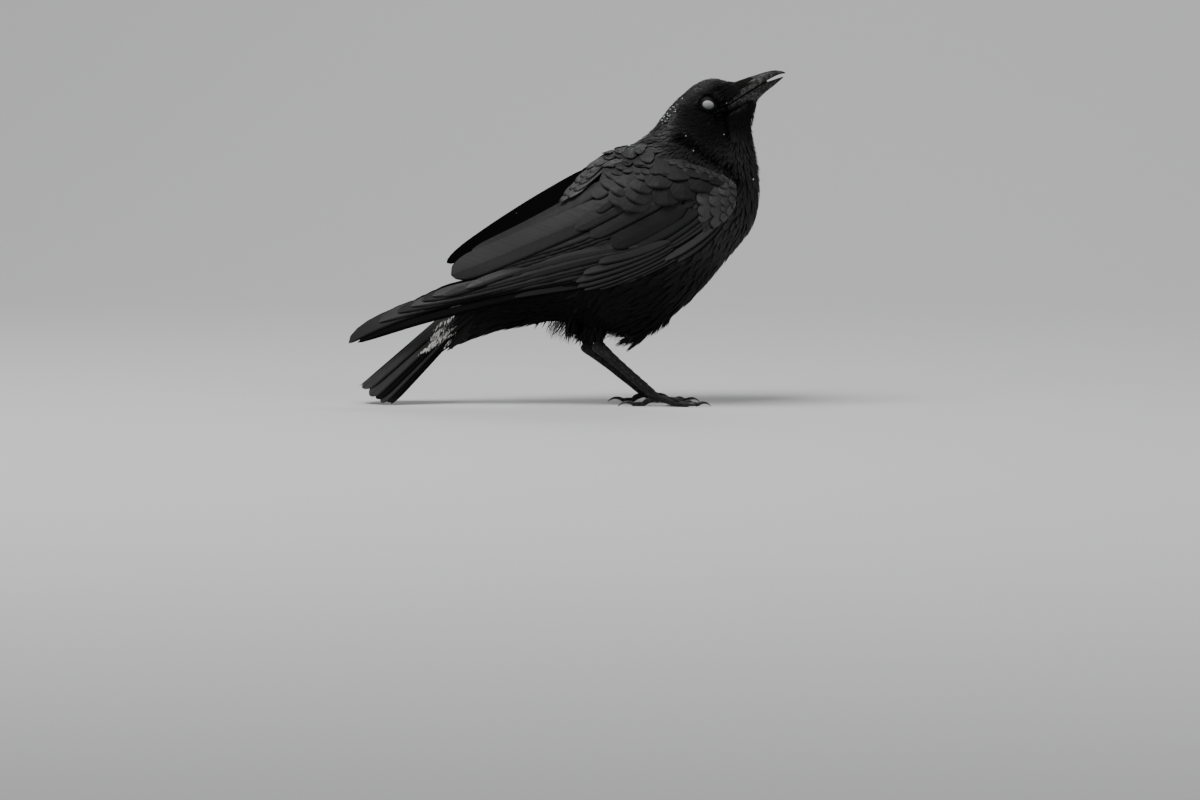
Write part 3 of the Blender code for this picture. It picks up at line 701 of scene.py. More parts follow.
def under_wing(points):
    """True where the closed wing, with its own rows of feathers, lies over the body."""
    x, z = points[:, 0], points[:, 2]
    wing_high = low_high("wing_right_shoulder")[1]
    beside = np.abs(points[:, 1]) < read_grid(wing_height, x, z) + 3.0
    inside = read_grid(wing_height, x, z, 2) > 0.72
    cape_top = wing_high[2] - 15 - 0.0075 * np.maximum(0, x - wing_high[0] + 49) ** 2
    from_wrist = np.stack([x, z], axis=1) - wrist
    along, up = from_wrist @ wing_ahead, from_wrist @ wing_up
    covered = (along > 28 + 1.2 * np.clip(up + 12, 0, 20)) | ((up < -17) & (along > 18))
    return inside & beside & covered & (z < cape_top) & (np.abs(points[:, 1]) > 3)


def bare(points):
    """True on the eyelids and where the horn of the bill shows."""
    away = (points[:, [0, 2]] - eye_middle[[0, 2]]) / EYE_BARE
    lid = ((away**2).sum(axis=1) < 1) & (np.abs(points[:, 1]) > 8)
    return lid | (horn_shows(points) > 0.8) | ((points - bill_root) @ bill_ahead > 28)


def lay_feathers(name, roots, shape, finish, columns=3, tip_shade=0.0):
    """Lays one feather on each root. shape lists shares along it with its share of full width."""
    shares, widths = np.array(shape).T
    sizes = guided(roots)[1]
    count = len(roots)
    vary = chance.normal(1.0, 0.12, (count, 3)).clip(0.7, 1.35)
    yaw = chance.normal(0.0, RUFFLE, count)
    lengths, half, tips = (sizes[:, size] * vary[:, k] for k, size in enumerate((0, 1, 3)))
    centres, sides, normals = march(skin_surface, roots, lengths, shares, yaw)
    spread = np.linspace(-1, 1, columns)
    across = half[:, None, None] * widths[None, :, None] * spread
    tops = centres[:, :, None] + sides[:, :, None] * across[..., None]
    lean = normals[:, :, None]
    if columns > 3:
        tops, lean = settle(skin_surface, tops)
    rise = -ROOT_SINK + (tips[:, None] + ROOT_SINK) * shares[None]
    bulge = CAMBER * half[:, None, None] * widths[None, :, None] * (1 - spread**2)
    roll = chance.normal(0, ROLL, count)[:, None, None] * across
    tops = tops + lean * (rise[:, :, None] + bulge + roll)[..., None]
    shade = tip_shade * np.clip((shares - 0.72) / 0.22, 0, 1)[None, :, None]
    return vanes(name, tops, lengths[:, None] * shares[None], across, flat_places(roots), finish,
                 gloss_and_shade=np.clip(sizes[:, 4], 0, 1), painted_shade=shade)


soft_black = feather_finish("soft_feather", (0.005, 0.005, 0.0053), (0.022, 0.022, 0.023), (0.62, 0.52),
                            0.42, 0.25, shaft=0.3)
scale_black = feather_finish("scale_feather", (0.006, 0.006, 0.0065), (0.018, 0.018, 0.019),
                             (0.56, 0.42), 0.4, 0.45, shaft=0.12)
roots = scattered(skin_points, outer_faces, lambda p: ~(under_wing(p) | bare(p)))
broad = guided(roots)[1][:, 1] > BROAD_FROM
on_head = roots[:, 2] > head_low[2] - 2
lay_feathers("head_coat", roots[~broad & on_head], SOFT_SHAPE, soft_black, tip_shade=0.45)
lay_feathers("body_coat", roots[~broad & ~on_head], SOFT_SHAPE, soft_black)
lay_feathers("mantle", roots[broad], SCALE_SHAPE, scale_black, columns=7, tip_shade=0.95)

# ================================================================ wings: rows of flight feathers
# Each closed wing is a stack of stiff vanes. The tertials lie on top, the secondaries peep out
# below them, the ten primaries run on to the point, and rows of coverts overlap all their roots.
vane_black = feather_finish("flight_feather", (0.007, 0.007, 0.0076), (0.027, 0.027, 0.028),
                            (0.52, 0.42), 0.55, 0.3)
# A row: name, how many, then lines of places on the wing from the first feather to the last: roots,
# one or more middles, and tips. Then half widths below and above the shaft, depth in the stack at
# root and tip, how round its tip is, how arched across, and its finish.
WING_ROWS = (
    ("primaries", 10, ((74, -16), (60, -29)),
     (((130, 1), (130, -2), (130, -4.5), (130, -7.5), (130, -10.5), (130, -13.5), (130, -16.5), (130, -19),
       (130, -22), (104, -30)),
      ((185, 6.5), (195, 5), (203, 3.5), (212, 2), (220, 1), (228, 0.8), (236, 1), (245, 1.6), (225, -8.5),
       (150, -22))),
     ((222, 7.5), (241, 8), (249, 11.5), (258, 10.8), (267, 10), (279, 9), (296, 7.3), (323.5, 0.5),
      (317, -1.4), (190, -13)),
     (3.6, 3.4, 3.0, 2.8, 2.8, 2.8, 2.8, 2.6, 2.4, 1.5), (4.0, 4.0, 6, 7, 7, 7, 8, 9, 4, 3.4),
     (-7.0, -11.6), (-5.6, -9.2), 0.13, 0.12, vane_black),
    ("secondaries", 6, ((78, 15), (68, -10)), (((120, 11.5), (120, -1.5)), ((168, 14), (168, 1.5))),
     ((214, 16), (208, 14), (204, 12), (200, 10), (197, 8), (193, 5.5)),
     (3.4, 3.8), (6, 6), (-1.8, -6.0), (-1.3, -4.6), 0.10, 0.12, vane_black),
    # The far wing's tertials show above the ridge in the matt dark soft finish: painted shade.
    ("far_tertials", 2, ((84, 57), (86, 50)), (((152, 48), (152, 43.5)),), ((230, 30.5), (222, 33)),
     (6, 6), (4.5, 5), (-4.0, -3.4), (-3.6, -3.0), 0.18, 0.05, soft_black),
    ("tertials", 2, ((88, 46), (80, 26)), (((150, 37), (150, 22.6)),), ((208, 31.5), (229.5, 20.8)),
     (8.0, 9.7), (3.0, 11.5), (-2.6, -0.5), (-2.0, -0.1), 0.17, 0.06, vane_black),
    ("greater_coverts", 11,
     ((72, 44), (70, 36), (62, 27), (50, 17), (42, 4), (32, -3), (27, -6), (24, -9), (21, -11), (18, -12),
      (15, -13)),
     (((90, 41), (92, 31), (96, 23), (84, 13), (74, -0.5), (60, -9.5), (54, -13.5), (48, -16), (42, -17),
       (36, -16.5), (28, -15)),),
     ((104, 38), (106, 27), (126, 19.5), (117, 9.5), (105, -2), (88, -13.5), (81, -17.5), (71, -20),
      (63, -20.5), (52, -19.5), (38, -17)),
     (6, 6, 6.5, 6, 8, 3.4, 3.0, 2.8, 2.6, 2.4, 2.2), (6, 7, 7, 8, 10, 7, 6, 5, 5, 4, 4),
     (1.0, -4.0), (1.5, -2.6), 0.24, 0.08, vane_black),
    ("primary_coverts", 7, ((62, -15), (62, -31)),
     (((96, -15), (101, -18.5), (104, -22.3), (104, -26), (100, -29), (94, -31.5), (88, -33)),),
     ((119, -11.5), (133, -14.5), (140.5, -18.6), (141, -23), (137, -27), (126, -30.5), (110, -33.5)),
     (2.8, 2.0), (4.2, 3.6), (-3.2, -8.0), (-1.9, -7.0), 0.16, 0.10, vane_black),
    ("alula", 2, ((20, -17), (18, -18)), (((42, -24.5), (42, -29)),), ((70.6, -28.5), (62, -33)),
     (2.4, 2.4), (4.2, 3.8), (-1.4, -2.6), (0.2, -0.8), 0.35, 0.10, vane_black),
)
# Each row's gloss from its first feather to its last, which also sets how light the colour is. The nought
# on the far tertials and the low value on the ninth primary are painted shade.
ROW_GLOSS_AND_SHADE = {
    "primaries": (0.85, 0.55, 0.8, 0.5, 0.85, 0.5, 0.8, 0.6, 0.1, 0.35),
    "secondaries": (0.95, 0.8),
    "far_tertials": (0,),
    "tertials": (0.6, 0.72),
    "greater_coverts": (0.7, 0.65, 0.6, 0.6, 0.42, 0.5, 0.6, 0.7, 0.9, 1, 1),
    "primary_coverts": (0.75, 0.75),
    "alula": (1.0, 0.6),
}
# Over the body each feather rests on the one below it: its layer, and the rows below its own.
BODY_LAYER, BODY_CLEAR = 0.3, 0.5
BODY_GAPS = {"secondaries": 0.4, "tertials": 1.4, "greater_coverts": 0.6, "primary_coverts": 1.6,
             "alula": 1.4}
WING_ACROSS = np.array((-1, -0.9, -0.75, -0.55, -0.35, -0.15, 0, 0.2, 0.6, 1))
WING_ROWS_ALONG, TIP_CROWDING = 18, 1.5
SIDES = ((-1, "right"), (1, "left"))
# The first number is how far the painted shade reaches in from each vane's lower edge; the second is how
# far that edge curls down.
SHADE_RIM_WIDTH, CURL_BELOW = 2.2, 0.22
SHAFT_HEIGHT, SHAFT_HALF = 0.22, 0.8


def on_line(places, shares):
    """Places along a line through given ones, evenly from its first to its last."""
    places = np.array(places, float)
    at = np.linspace(0, 1, len(places))
    return np.stack([np.interp(shares, at, places[:, k]) for k in (0, 1)], axis=1)


def through(marks, shares):
    """Smooth courses through places: marks is a list of arrays, one row for each feather."""
    marks = np.stack(marks, axis=1)
    steps = np.linalg.norm(np.diff(marks, axis=1), axis=2)
    at = np.concatenate([np.zeros((len(marks), 1)), np.cumsum(steps, axis=1)], axis=1)
    at /= at[:, -1:]
    course = np.zeros((len(marks), len(shares), 2))
    for k in range(marks.shape[1]):
        weight = np.ones((len(marks), len(shares)))
        for other in range(marks.shape[1]):
            if other != k:
                weight *= (shares[None] - at[:, other, None]) / (at[:, k] - at[:, other])[:, None]
        course += weight[..., None] * marks[:, k, None]
    return course


def vane_widths(shares, roundness):
    """A vane's share of its full width: narrow at the root, parallel, then a round tip."""
    start = np.clip(shares / 0.22, 0, 1)
    rounding = np.clip((shares - (1 - roundness)) / roundness, 0, 1)
    return (0.35 + 0.65 * start * (2 - start)) * np.sqrt(np.clip(1 - rounding**2.3, 0.002, 1))


def shaft_ridge(across):
    return SHAFT_HEIGHT * np.exp(-((across / SHAFT_HALF) ** 2))


def spread_over(values, count):
    """Numbers for each feather of a row, evenly between the given ones."""
    return np.interp(np.linspace(0, 1, count), np.linspace(0, 1, len(values)), values)


def wing_row(side, side_name, name, count, roots, middles, tips, below, above, deep, shallow,
             roundness, arch, finish):
    """One row of a closed wing, each vane at its own depth and none of them inside the body."""
    share = np.linspace(0, 1, count)
    root, tip = on_line(roots, share), on_line(tips, share)
    root += chance.normal(0, 0.5, root.shape)
    tip += chance.normal(0, 0.25, tip.shape)
    run = 1 - (1 - np.linspace(0, 1, WING_ROWS_ALONG)) ** TIP_CROWDING
    line = through([root, *(on_line(middle, share) for middle in middles), tip], run)
    ahead = unit(np.gradient(line, axis=1))
    upward = np.stack([-ahead[..., 1], ahead[..., 0]], axis=-1)
    lower, higher = (spread_over(half, count)[:, None, None] for half in (below, above))
    across = lower * np.minimum(WING_ACROSS, 0) + higher * np.maximum(WING_ACROSS, 0)
    across = across * vane_widths(run, roundness)[None, :, None]
    x, z = in_side_view(line[:, :, None] + upward[:, :, None] * across[..., None])
    out = read_grid(hand_height if name in ("primaries", "primary_coverts") else arm_height, x, z)
    layers = np.minimum(count - 1 - np.arange(count), 6)[:, None, None]
    floor = above_body(x, z) + BODY_CLEAR + BODY_LAYER * layers + BODY_GAPS.get(name, 0)
    depth = np.linspace(*deep, count)[:, None] * (1 - run) + np.linspace(*shallow, count)[:, None] * run
    reach = np.where(across < 0, lower, higher)
    curl = np.where(across < 0, CURL_BELOW * np.minimum(1, (3.5 / reach) ** 1.6), arch)
    out = out + depth[:, :, None] - curl * across**2 / reach
    out = np.maximum(out, floor - 0.12 * across**2 / reach) + shaft_ridge(across)
    # Painted shade: a dark matt band along each vane's lower edge stands in for the shadow it casts on the
    # vane below.
    painted_shade = np.clip(1.2 - lower * (1 + np.minimum(WING_ACROSS, 0)) / SHADE_RIM_WIDTH, 0, 1) * (WING_ACROSS < 0)
    tops = np.stack([x, side * np.maximum(out, 0.3), z], axis=-1)
    if side > 0:
        tops, across, painted_shade = tops[:, :, ::-1], across[:, :, ::-1], painted_shade[:, :, ::-1]
    along = np.linalg.norm(tip - root, axis=1)[:, None] * run[None]
    replaced = [f"wing_{side_name}_{name}"] if name in ("primaries", "secondaries") else []
    return vanes(f"wing_{side_name}_{name}_vanes", tops, along, across, None, finish,
                 gloss_and_shade=spread_over(ROW_GLOSS_AND_SHADE[name], count), painted_shade=painted_shade, replaced=replaced)


for side, side_name in SIDES:
    for row in WING_ROWS:
        wing_row(side, side_name, *row)

# ================================================================ scapulars and small coverts
# Broad round feathers grow from the shoulder and hang over the wing like a short cape in two lobes. Small
# coverts cover the wrist, glossy and lighter in colour as a painted highlight on its bulge, narrow ones
# the cape's front edge, and a few long streaky ones run down the ridge of the back. Upper feathers overlap
# lower ones.
# The wrist finish is lighter than the other feathers: a painted highlight.
wrist_black = feather_finish("wrist_feather", (0.011, 0.011, 0.0115), (0.045, 0.045, 0.046),
                             (0.5, 0.4), 0.55, 0.5, shaft=0.2)
pale_ridge = feather_finish("ridge_feather", (0.006, 0.006, 0.0065), (0.14, 0.138, 0.135),
                            (0.55, 0.42), 0.5, 0.7)
# Each feather: its tip in wing places, length, half width, its heading in degrees in the same
# places, and how far its tip stands off the wing.
CAPE = (
    (53.6, 9.5, 26, 11.5, -66, 2.2), (40.5, 8.8, 26, 11.0, -66, 2.3), (26.5, 9.8, 21, 10.5, -64, 2.1),
    (13.0, 10.5, 10, 7.0, -58, 1.7), (80.5, 15.0, 27, 12.5, -50, 2.3), (90.0, 24.0, 24, 9.5, -44, 2.2),
    (76.6, 22.0, 24, 11.5, -54, 2.3), (19.0, 16.5, 11, 7.0, -60, 1.8), (88.0, 32.0, 22, 9.0, -46, 2.1),
    (69.5, 27.5, 22, 10.4, -58, 2.2), (55.5, 24.5, 23, 12.0, -64, 2.2), (38.6, 23.6, 18, 10.4, -64, 2.1),
    (26.5, 22.0, 11, 7.0, -62, 1.8), (93.0, 39.0, 20, 7.4, -38, 1.9), (63.0, 33.5, 19, 9.4, -60, 2.0),
    (80.5, 37.0, 18, 9.0, -52, 2.0), (47.0, 33.0, 15, 8.6, -64, 1.9), (88.0, 46.0, 16, 6.6, -42, 1.8),
)
WRIST_BASES = (
    (36, -10, 12, 3.0, -22, 0.9), (33, -5.5, 12, 4.2, -28, 1.1), (24, -9, 11, 4.0, -24, 0.8),
    (16, -10.5, 9, 3.4, -22, 0.7), (31, 2.5, 12, 5.0, -36, 1.3), (22, -2.5, 11, 4.6, -32, 1.2),
    (14, -5.5, 9, 3.8, -28, 1.1), (8, -6.5, 8, 3.2, -26, 0.9), (20, 5.5, 11, 4.6, -44, 1.5),
    (11, 1.0, 9, 4.2, -38, 1.4), (4, -1.5, 8, 3.4, -32, 1.2), (10, 7.0, 9, 4.0, -48, 1.5),
    (3, 4.0, 8, 3.4, -42, 1.4), (28, -17, 10, 3.2, -18, 0.5), (20, -16.5, 10, 3.2, -20, 0.6),
    (13, -14.5, 9, 3.2, -24, 0.7), (7, -11, 8, 3.0, -28, 0.8),
)
WRIST = [(along, up, 1.5 * length, 1.25 * half, heading + chance.normal(0, 4), 0.35 + 0.45 * lift)
         for along, up, length, half, heading, lift in WRIST_BASES]
FRONT_EDGE = (
    (41, 40, 14, 1.9, 20, 1.8), (36, 37, 14, 1.9, 26, 1.9), (31, 34.5, 14, 1.8, 30, 2.0),
    (26, 31, 14, 1.8, 36, 2.0), (21.5, 28, 14, 1.7, 38, 2.0), (17, 24.5, 13, 1.7, 40, 1.9),
    (13, 20.5, 12, 1.6, 44, 1.9), (9.5, 16.5, 12, 1.5, 48, 1.8), (6.5, 12.5, 11, 1.5, 52, 1.8),
    (33, 31.5, 13, 1.7, 30, 1.6), (24.5, 26.5, 13, 1.7, 36, 1.6), (15.5, 19.5, 12, 1.6, 42, 1.6),
)
MANTLE_ROWS = ((14.0, 2.1), (18.5, 2.3), (23.0, 2.5), (27.0, 2.6))
MANTLE_SCALES = [(along + chance.normal(0, 1.4), base + 0.4 * along + chance.normal(0, 1.3),
                  chance.uniform(9, 14), chance.uniform(3.8, 6.0), -58 + chance.normal(0, 8), lift)
                 for row, (base, lift) in enumerate(MANTLE_ROWS)
                 for along in np.arange(48 + 3.5 * (row % 2) + 4 * row, 86, 6.6)]
RIDGE_TIPS = ((129, 42), (122, 43), (125, 45), (116, 45), (119, 47.5), (110, 48), (113, 50.5), (104, 50),
              (107, 53), (99, 53), (101, 56.5), (94, 57), (90, 54))
RIDGE = [(along, up, chance.uniform(20, 32), chance.uniform(1.6, 2.8), -21 + chance.normal(0, 3),
          1.4 + 0.12 * index) for index, (along, up) in enumerate(RIDGE_TIPS)]
ROUND_SHAPE = ((0.0, 0.5), (0.15, 0.8), (0.35, 0.97), (0.55, 1.0), (0.7, 0.97), (0.8, 0.88), (0.88, 0.74),
               (0.94, 0.56), (0.98, 0.34), (1.0, 0.14))
LONG_SHAPE = ((0.0, 0.5), (0.2, 0.8), (0.5, 1.0), (0.75, 0.9), (0.88, 0.7), (0.96, 0.4), (1.0, 0.1))
COVERT_ACROSS, COVERT_ROOT, COVERT_CURL, COVERT_CANT = 13, -1.2, 0.02, 0.035


def lay_on_wing(side, side_name, name, feathers, shape, finish, bright=None):
    """Small round feathers over the shoulder and wrist. bright sets one gloss for all of them."""
    feathers = np.array(feathers, float)
    count = len(feathers)
    tip = feathers[:, :2] + chance.normal(0, 0.35, (count, 2))
    length, half, lift = feathers[:, 2], feathers[:, 3], feathers[:, 5]
    heading = np.radians(feathers[:, 4] + chance.normal(0, 5, count))
    ahead = np.stack([np.cos(heading), np.sin(heading)], axis=1)
    upward = np.stack([-ahead[:, 1], ahead[:, 0]], axis=1)
    shares, widths = np.array(shape).T
    line = tip[:, None] - ahead[:, None] * (length[:, None] * (1 - shares))[..., None]
    spread = np.linspace(-1, 1, COVERT_ACROSS)
    wavy = 1 + 0.07 * np.sin(shares * 17 + chance.uniform(0, 6, (count, 1))) * shares
    across = (half[:, None] * widths * wavy)[:, :, None] * spread
    x, z = in_side_view(line[:, :, None] + upward[:, None, None] * across[..., None])
    tops, normals = settle(hull_surface, np.stack([x, side * read_grid(arm_height, x, z), z], axis=-1))
    rise = COVERT_ROOT + (lift - COVERT_ROOT)[:, None] * shares**0.7
    rise = rise + chance.normal(0, 0.12, count)[:, None]
    ripple = 0.07 * np.sin(spread * 9 + chance.uniform(0, 6, count)[:, None]) * np.abs(spread)
    drop = COVERT_CURL * across**2 / half[:, None, None] - ripple[:, None, :] - COVERT_CANT * across
    tops = tops + normals * (rise[:, :, None] - drop)[..., None]
    if side > 0:
        tops, across = tops[:, :, ::-1], across[:, :, ::-1]
    if bright is None:
        bright = np.clip(0.26 + feathers[:, 1] / 120 + feathers[:, 0] / 260, 0.25, 0.85)
    # Painted shade: each feather's tip turns matt and dark, drawing the shadow line under its row.
    return vanes(f"{name}_{side_name}", tops, length[:, None] * shares[None], across,
                 flat_places(tops[:, 0, COVERT_ACROSS // 2]), finish, gloss_and_shade=bright,
                 painted_shade=0.85 * np.clip((shares - 0.9) / 0.09, 0, 1)[None, :, None])


for side, side_name in SIDES:
    lay_on_wing(side, side_name, "scapulars", CAPE, ROUND_SHAPE, scale_black)
    lay_on_wing(side, side_name, "mantle_scales", MANTLE_SCALES, ROUND_SHAPE, scale_black)
    lay_on_wing(side, side_name, "wrist_coverts", WRIST, ROUND_SHAPE, wrist_black, bright=1.0)
    lay_on_wing(side, side_name, "cape_edge", FRONT_EDGE, LONG_SHAPE, vane_black, bright=0.95)
    lay_on_wing(side, side_name, "ridge_feathers", RIDGE, LONG_SHAPE, pale_ridge)

# ================================================================ tail
# Twelve stiff feathers folded into a shallow roof: the middle pair lies on top along the ridge and
# each one further out slides under it. The tail hangs and is rolled, so its right side drops.
tail_black = feather_finish("tail_feather", (0.004, 0.004, 0.0044), (0.032, 0.032, 0.033), (0.5, 0.38),
                            0.55, 0.6)
TAIL_DROP, TAIL_ROLL, TAIL_SAG = math.radians(40.8), math.radians(27), math.radians(27)
TAIL_START, TAIL_LENGTH, TAIL_ROUNDING = 40.0, 169.8, 14.0
TAIL_HALF = {-1: 29.0, 1: 28.0}
TAIL_RIDGE, TAIL_STEP, TAIL_LAYER, TAIL_SHADE_RIM = 2.0, 0.9, 0.95, 2.4
# From the ridge out: where a feather's shaft ends across the half tail, its outer and inner width.
TAIL_FEATHERS = ((0.10, 7.1, 4.5), (0.42, 6.3, 8.0), (0.60, 5.0, 8.0), (0.76, 4.4, 8.0), (0.86, 3.2, 8.0),
                 (0.93, 2.2, 8.0))
# Each feather's gloss from the ridge out, which also sets how light it is. The third feather's low gloss
# is painted shade between the bands of the folded tail.
TAIL_GLOSS_AND_SHADE = np.array((0.85, 0.75, 0.1, 0.7, 0.3, 0.6))
TAIL_ACROSS = np.array((-1, -0.7, -0.4, -0.15, 0, 0.15, 0.35, 0.55, 0.7, 0.85, 0.93, 1))
# White marks on the upper side, in millimetres: along the tail, out from its ridge, reach both ways.
WHITE_MARKS = ((104, 14.0, 12, 2.6), (97, 10.0, 9, 2.2), (88, 15.0, 9, 2.8), (81, 22.0, 9, 3.2),
          (90, 6.0, 8, 1.5), (114, 13.0, 6, 1.3), (74, 24.0, 7, 2.4), (94, 20.5, 6, 2.0),
          (82, 8.0, 7, 1.6), (74, 16.0, 6, 1.8))
tail_high = low_high("tail")[1]
tail_root = np.array([tail_high[0] + 30.0, 0.0, tail_high[2] + 26.1])
tail_ahead = np.array([-math.cos(TAIL_DROP), 0, -math.sin(TAIL_DROP)])
tail_top = np.cross([0, 1, 0], tail_ahead)
tail_left = np.array([0, math.cos(TAIL_ROLL), 0]) + tail_top * math.sin(TAIL_ROLL)
tail_top = tail_top * math.cos(TAIL_ROLL) - np.array([0, math.sin(TAIL_ROLL), 0])


def marked_white(along, out):
    """How strongly each place of the tail is marked, from 0 to 1."""
    found = np.zeros(np.broadcast(along, out).shape)
    for place, aside, reach, wide in WHITE_MARKS:
        away = ((along - place) / reach) ** 2 + ((out - aside) / wide) ** 2
        found = np.maximum(found, np.clip(1.15 - 0.62 * away, 0, 1))
    return found


for side, side_name in SIDES:
    count = len(TAIL_FEATHERS)
    ends, outer, inner = (np.array(column)[:, None] for column in zip(*TAIL_FEATHERS))
    run = 1 - (1 - np.linspace(0, 1, 26)) ** TIP_CROWDING
    order = np.arange(count)[:, None]
    ragged = chance.normal(0, 1.2, count).clip(-2, 1)[:, None]
    along = TAIL_START + (TAIL_LENGTH - TAIL_ROUNDING * ends**3 + ragged - TAIL_START) * run[None]
    start = TAIL_RIDGE + order * TAIL_STEP
    centre = start + (ends * TAIL_HALF[side] - start) * run**0.75
    outer, inner = outer[:, None], inner[:, None]
    across = inner * np.minimum(TAIL_ACROSS, 0) + outer * np.maximum(TAIL_ACROSS, 0)
    across = across * vane_widths(run, 0.13)[None, :, None]
    out = centre[:, :, None] + across
    curl = np.where(across > 0, 0.07 * across**2 / outer, 0.05 * across**2 / 10)
    drop = np.abs(out) * math.sin(TAIL_SAG) + order[:, None] * TAIL_LAYER + curl
    drop = drop - shaft_ridge(across) + 0.3
    tops = tail_root + along[:, :, None, None] * tail_ahead - drop[..., None] * tail_top
    tops = tops + (side * out * math.cos(TAIL_SAG))[..., None] * tail_left
    marks = marked_white(along[:, :, None], out) * (side < 0)
    # Painted shade: a dark matt band along each feather's outer edge, where it overlaps the next one.
    painted_shade = np.clip(1.2 - (outer - across) / TAIL_SHADE_RIM, 0, 1)
    if side < 0:
        tops, across, marks, painted_shade = (values[:, :, ::-1] for values in (tops, across, marks, painted_shade))
    vanes(f"tail_{side_name}", tops, along, across, None, tail_black, marks=marks, painted_shade=painted_shade,
          gloss_and_shade=TAIL_GLOSS_AND_SHADE * (1 if side < 0 else 0.2), replaced=["tail"])

# ================================================================ bill
# Two horny sheaths over bone, black and worn: the upper one ridged and hooked at its tip, the
# lower one a trough. They stand a little apart near the tip. Stiff bristles lie over the nostrils.
BRISTLE_SHAPE = ((0.0, 0.7), (0.3, 1.0), (0.6, 0.8), (0.85, 0.5), (1.0, 0.08))
BRISTLE_SINK = 0.3
# A row: millimetres from the bill's root, the top and the bottom of the section, its half width.
BILL_UPPER = ((1.0, 10.5, 0.6, 8.9), (8.0, 12.2, 1.0, 8.8), (15.0, 12.6, 1.5, 8.0), (23.0, 11.2, 1.9, 6.9),
              (33.0, 9.8, 2.1, 5.3), (41.0, 8.1, 2.0, 3.9), (46.5, 6.2, 1.8, 2.8), (50.4, 3.6, 0.9, 1.6),
              (53.0, 0.9, -0.2, 0.5))
BILL_LOWER = ((1.0, -0.5, -5.5, 8.2), (8.0, -0.2, -7.4, 8.0), (15.0, 0.3, -8.6, 7.0),
              (21.0, 0.6, -8.8, 5.9), (25.5, 0.9, -7.4, 5.3), (31.0, 1.1, -5.8, 4.6),
              (36.0, 1.0, -4.9, 3.9), (40.0, 0.4, -4.3, 3.3), (45.5, -0.6, -3.2, 2.2),
              (50.0, -1.4, -2.1, 0.8))
TONGUE = ((2.0, 2.0, -2.0, 6.4), (12.0, 2.8, -1.4, 5.6), (24.0, 3.3, -0.8, 4.2), (33.0, 3.2, 0.0, 2.7),
          (37.5, 2.6, 0.8, 1.2))


def smooth_rows(rows, steps):
    """A smooth curve through rows of numbers, with this many steps between neighbours."""
    rows = np.array(rows, float)
    ends = np.vstack([2 * rows[0] - rows[1], rows, 2 * rows[-1] - rows[-2]])
    found = []
    for a, b, c, d in zip(ends, ends[1:], ends[2:], ends[3:]):
        for step in range(steps):
            t = step / steps
            bend = (2 * a - 5 * b + 4 * c - d) * t * t + (3 * b - a - 3 * c + d) * t**3
            found.append(0.5 * (2 * b + (c - a) * t + bend))
    return np.array([*found, rows[-1]])


def tube(name, rings, finish, slot, *replaced, sharp=40, hoop=False):
    """One closed skin over rings of points in millimetres. A hoop's last ring meets its first."""
    rings = np.array(rings)
    sides = rings.shape[1]
    grid = np.arange(rings.shape[0] * sides).reshape(-1, sides).tolist()
    faces = [] if hoop else [tuple(grid[0][::-1]), tuple(grid[-1])]
    for ring, following in zip(grid, grid[1:] + grid[:1] * hoop):
        for k in range(sides):
            after = (k + 1) % sides
            faces.append((ring[k], ring[after], following[after], following[k]))
    data = mesh_of(name, (rings * MM).reshape(-1, 3), faces, finish)
    data.set_sharp_from_angle(angle=math.radians(sharp))
    return mounted(name, data, slot, *replaced)


def bill_sheath(name, rows, rising, finish, *replaced):
    """rising is 1 for the upper sheath, -1 for the lower: its outer face bulges that way."""
    rings = []
    for place, top, bottom, half in smooth_rows(rows, 6):
        crest, flat = (top, bottom) if rising > 0 else (bottom, top)
        ring = []
        for angle in math.pi * np.arange(33) / 32:
            out = math.copysign(abs(math.cos(angle)) ** 0.8, math.cos(angle)) * half
            ring.append((out, flat + (crest - flat) * math.sin(angle) ** 1.25))
        for share in 1 - 2 * np.arange(1, 12) / 12:
            ring.append((-half * share, flat + (crest - flat) * 0.16 * (1 - share * share)))
        ring = [in_bill(place, high, out) for out, high in ring]
        rings.append(ring[::-1] if rising > 0 else ring)
    tube(name, rings, finish, "horn", *replaced, sharp=55)


def in_bill(ahead, above, out=0.0):
    """A place in the frame from places along and above the bill's middle line."""
    return bill_root + bill_ahead * ahead + bill_up * above + np.array([0, out, 0])


horn_black, tree, shader = material("horn_black", (0.016, 0.0155, 0.015), 0.32, 0.5)
place = own_place(tree)
along_bill = node(tree, "Mapping", i0=place, Rotation=(0, BILL_RISE, 0), Scale=(160, 1500, 1500))
fibre = noise(tree, 1.0, 5.0, Vector=along_bill.outputs[0])
chips = noise(tree, 480.0, 5.0, Roughness=0.7, Vector=place)
chipped = ranged(tree, chips, 0.5, 0.68)
toward_base = ranged(tree, node(tree, "SeparateXYZ", Vector=place).outputs[0], (bill_root[0] + 31) * MM,
                     (bill_root[0] + 9) * MM)
horn_tone = mixed(tree, chipped, (0.009, 0.0088, 0.0087), (0.05, 0.048, 0.046))
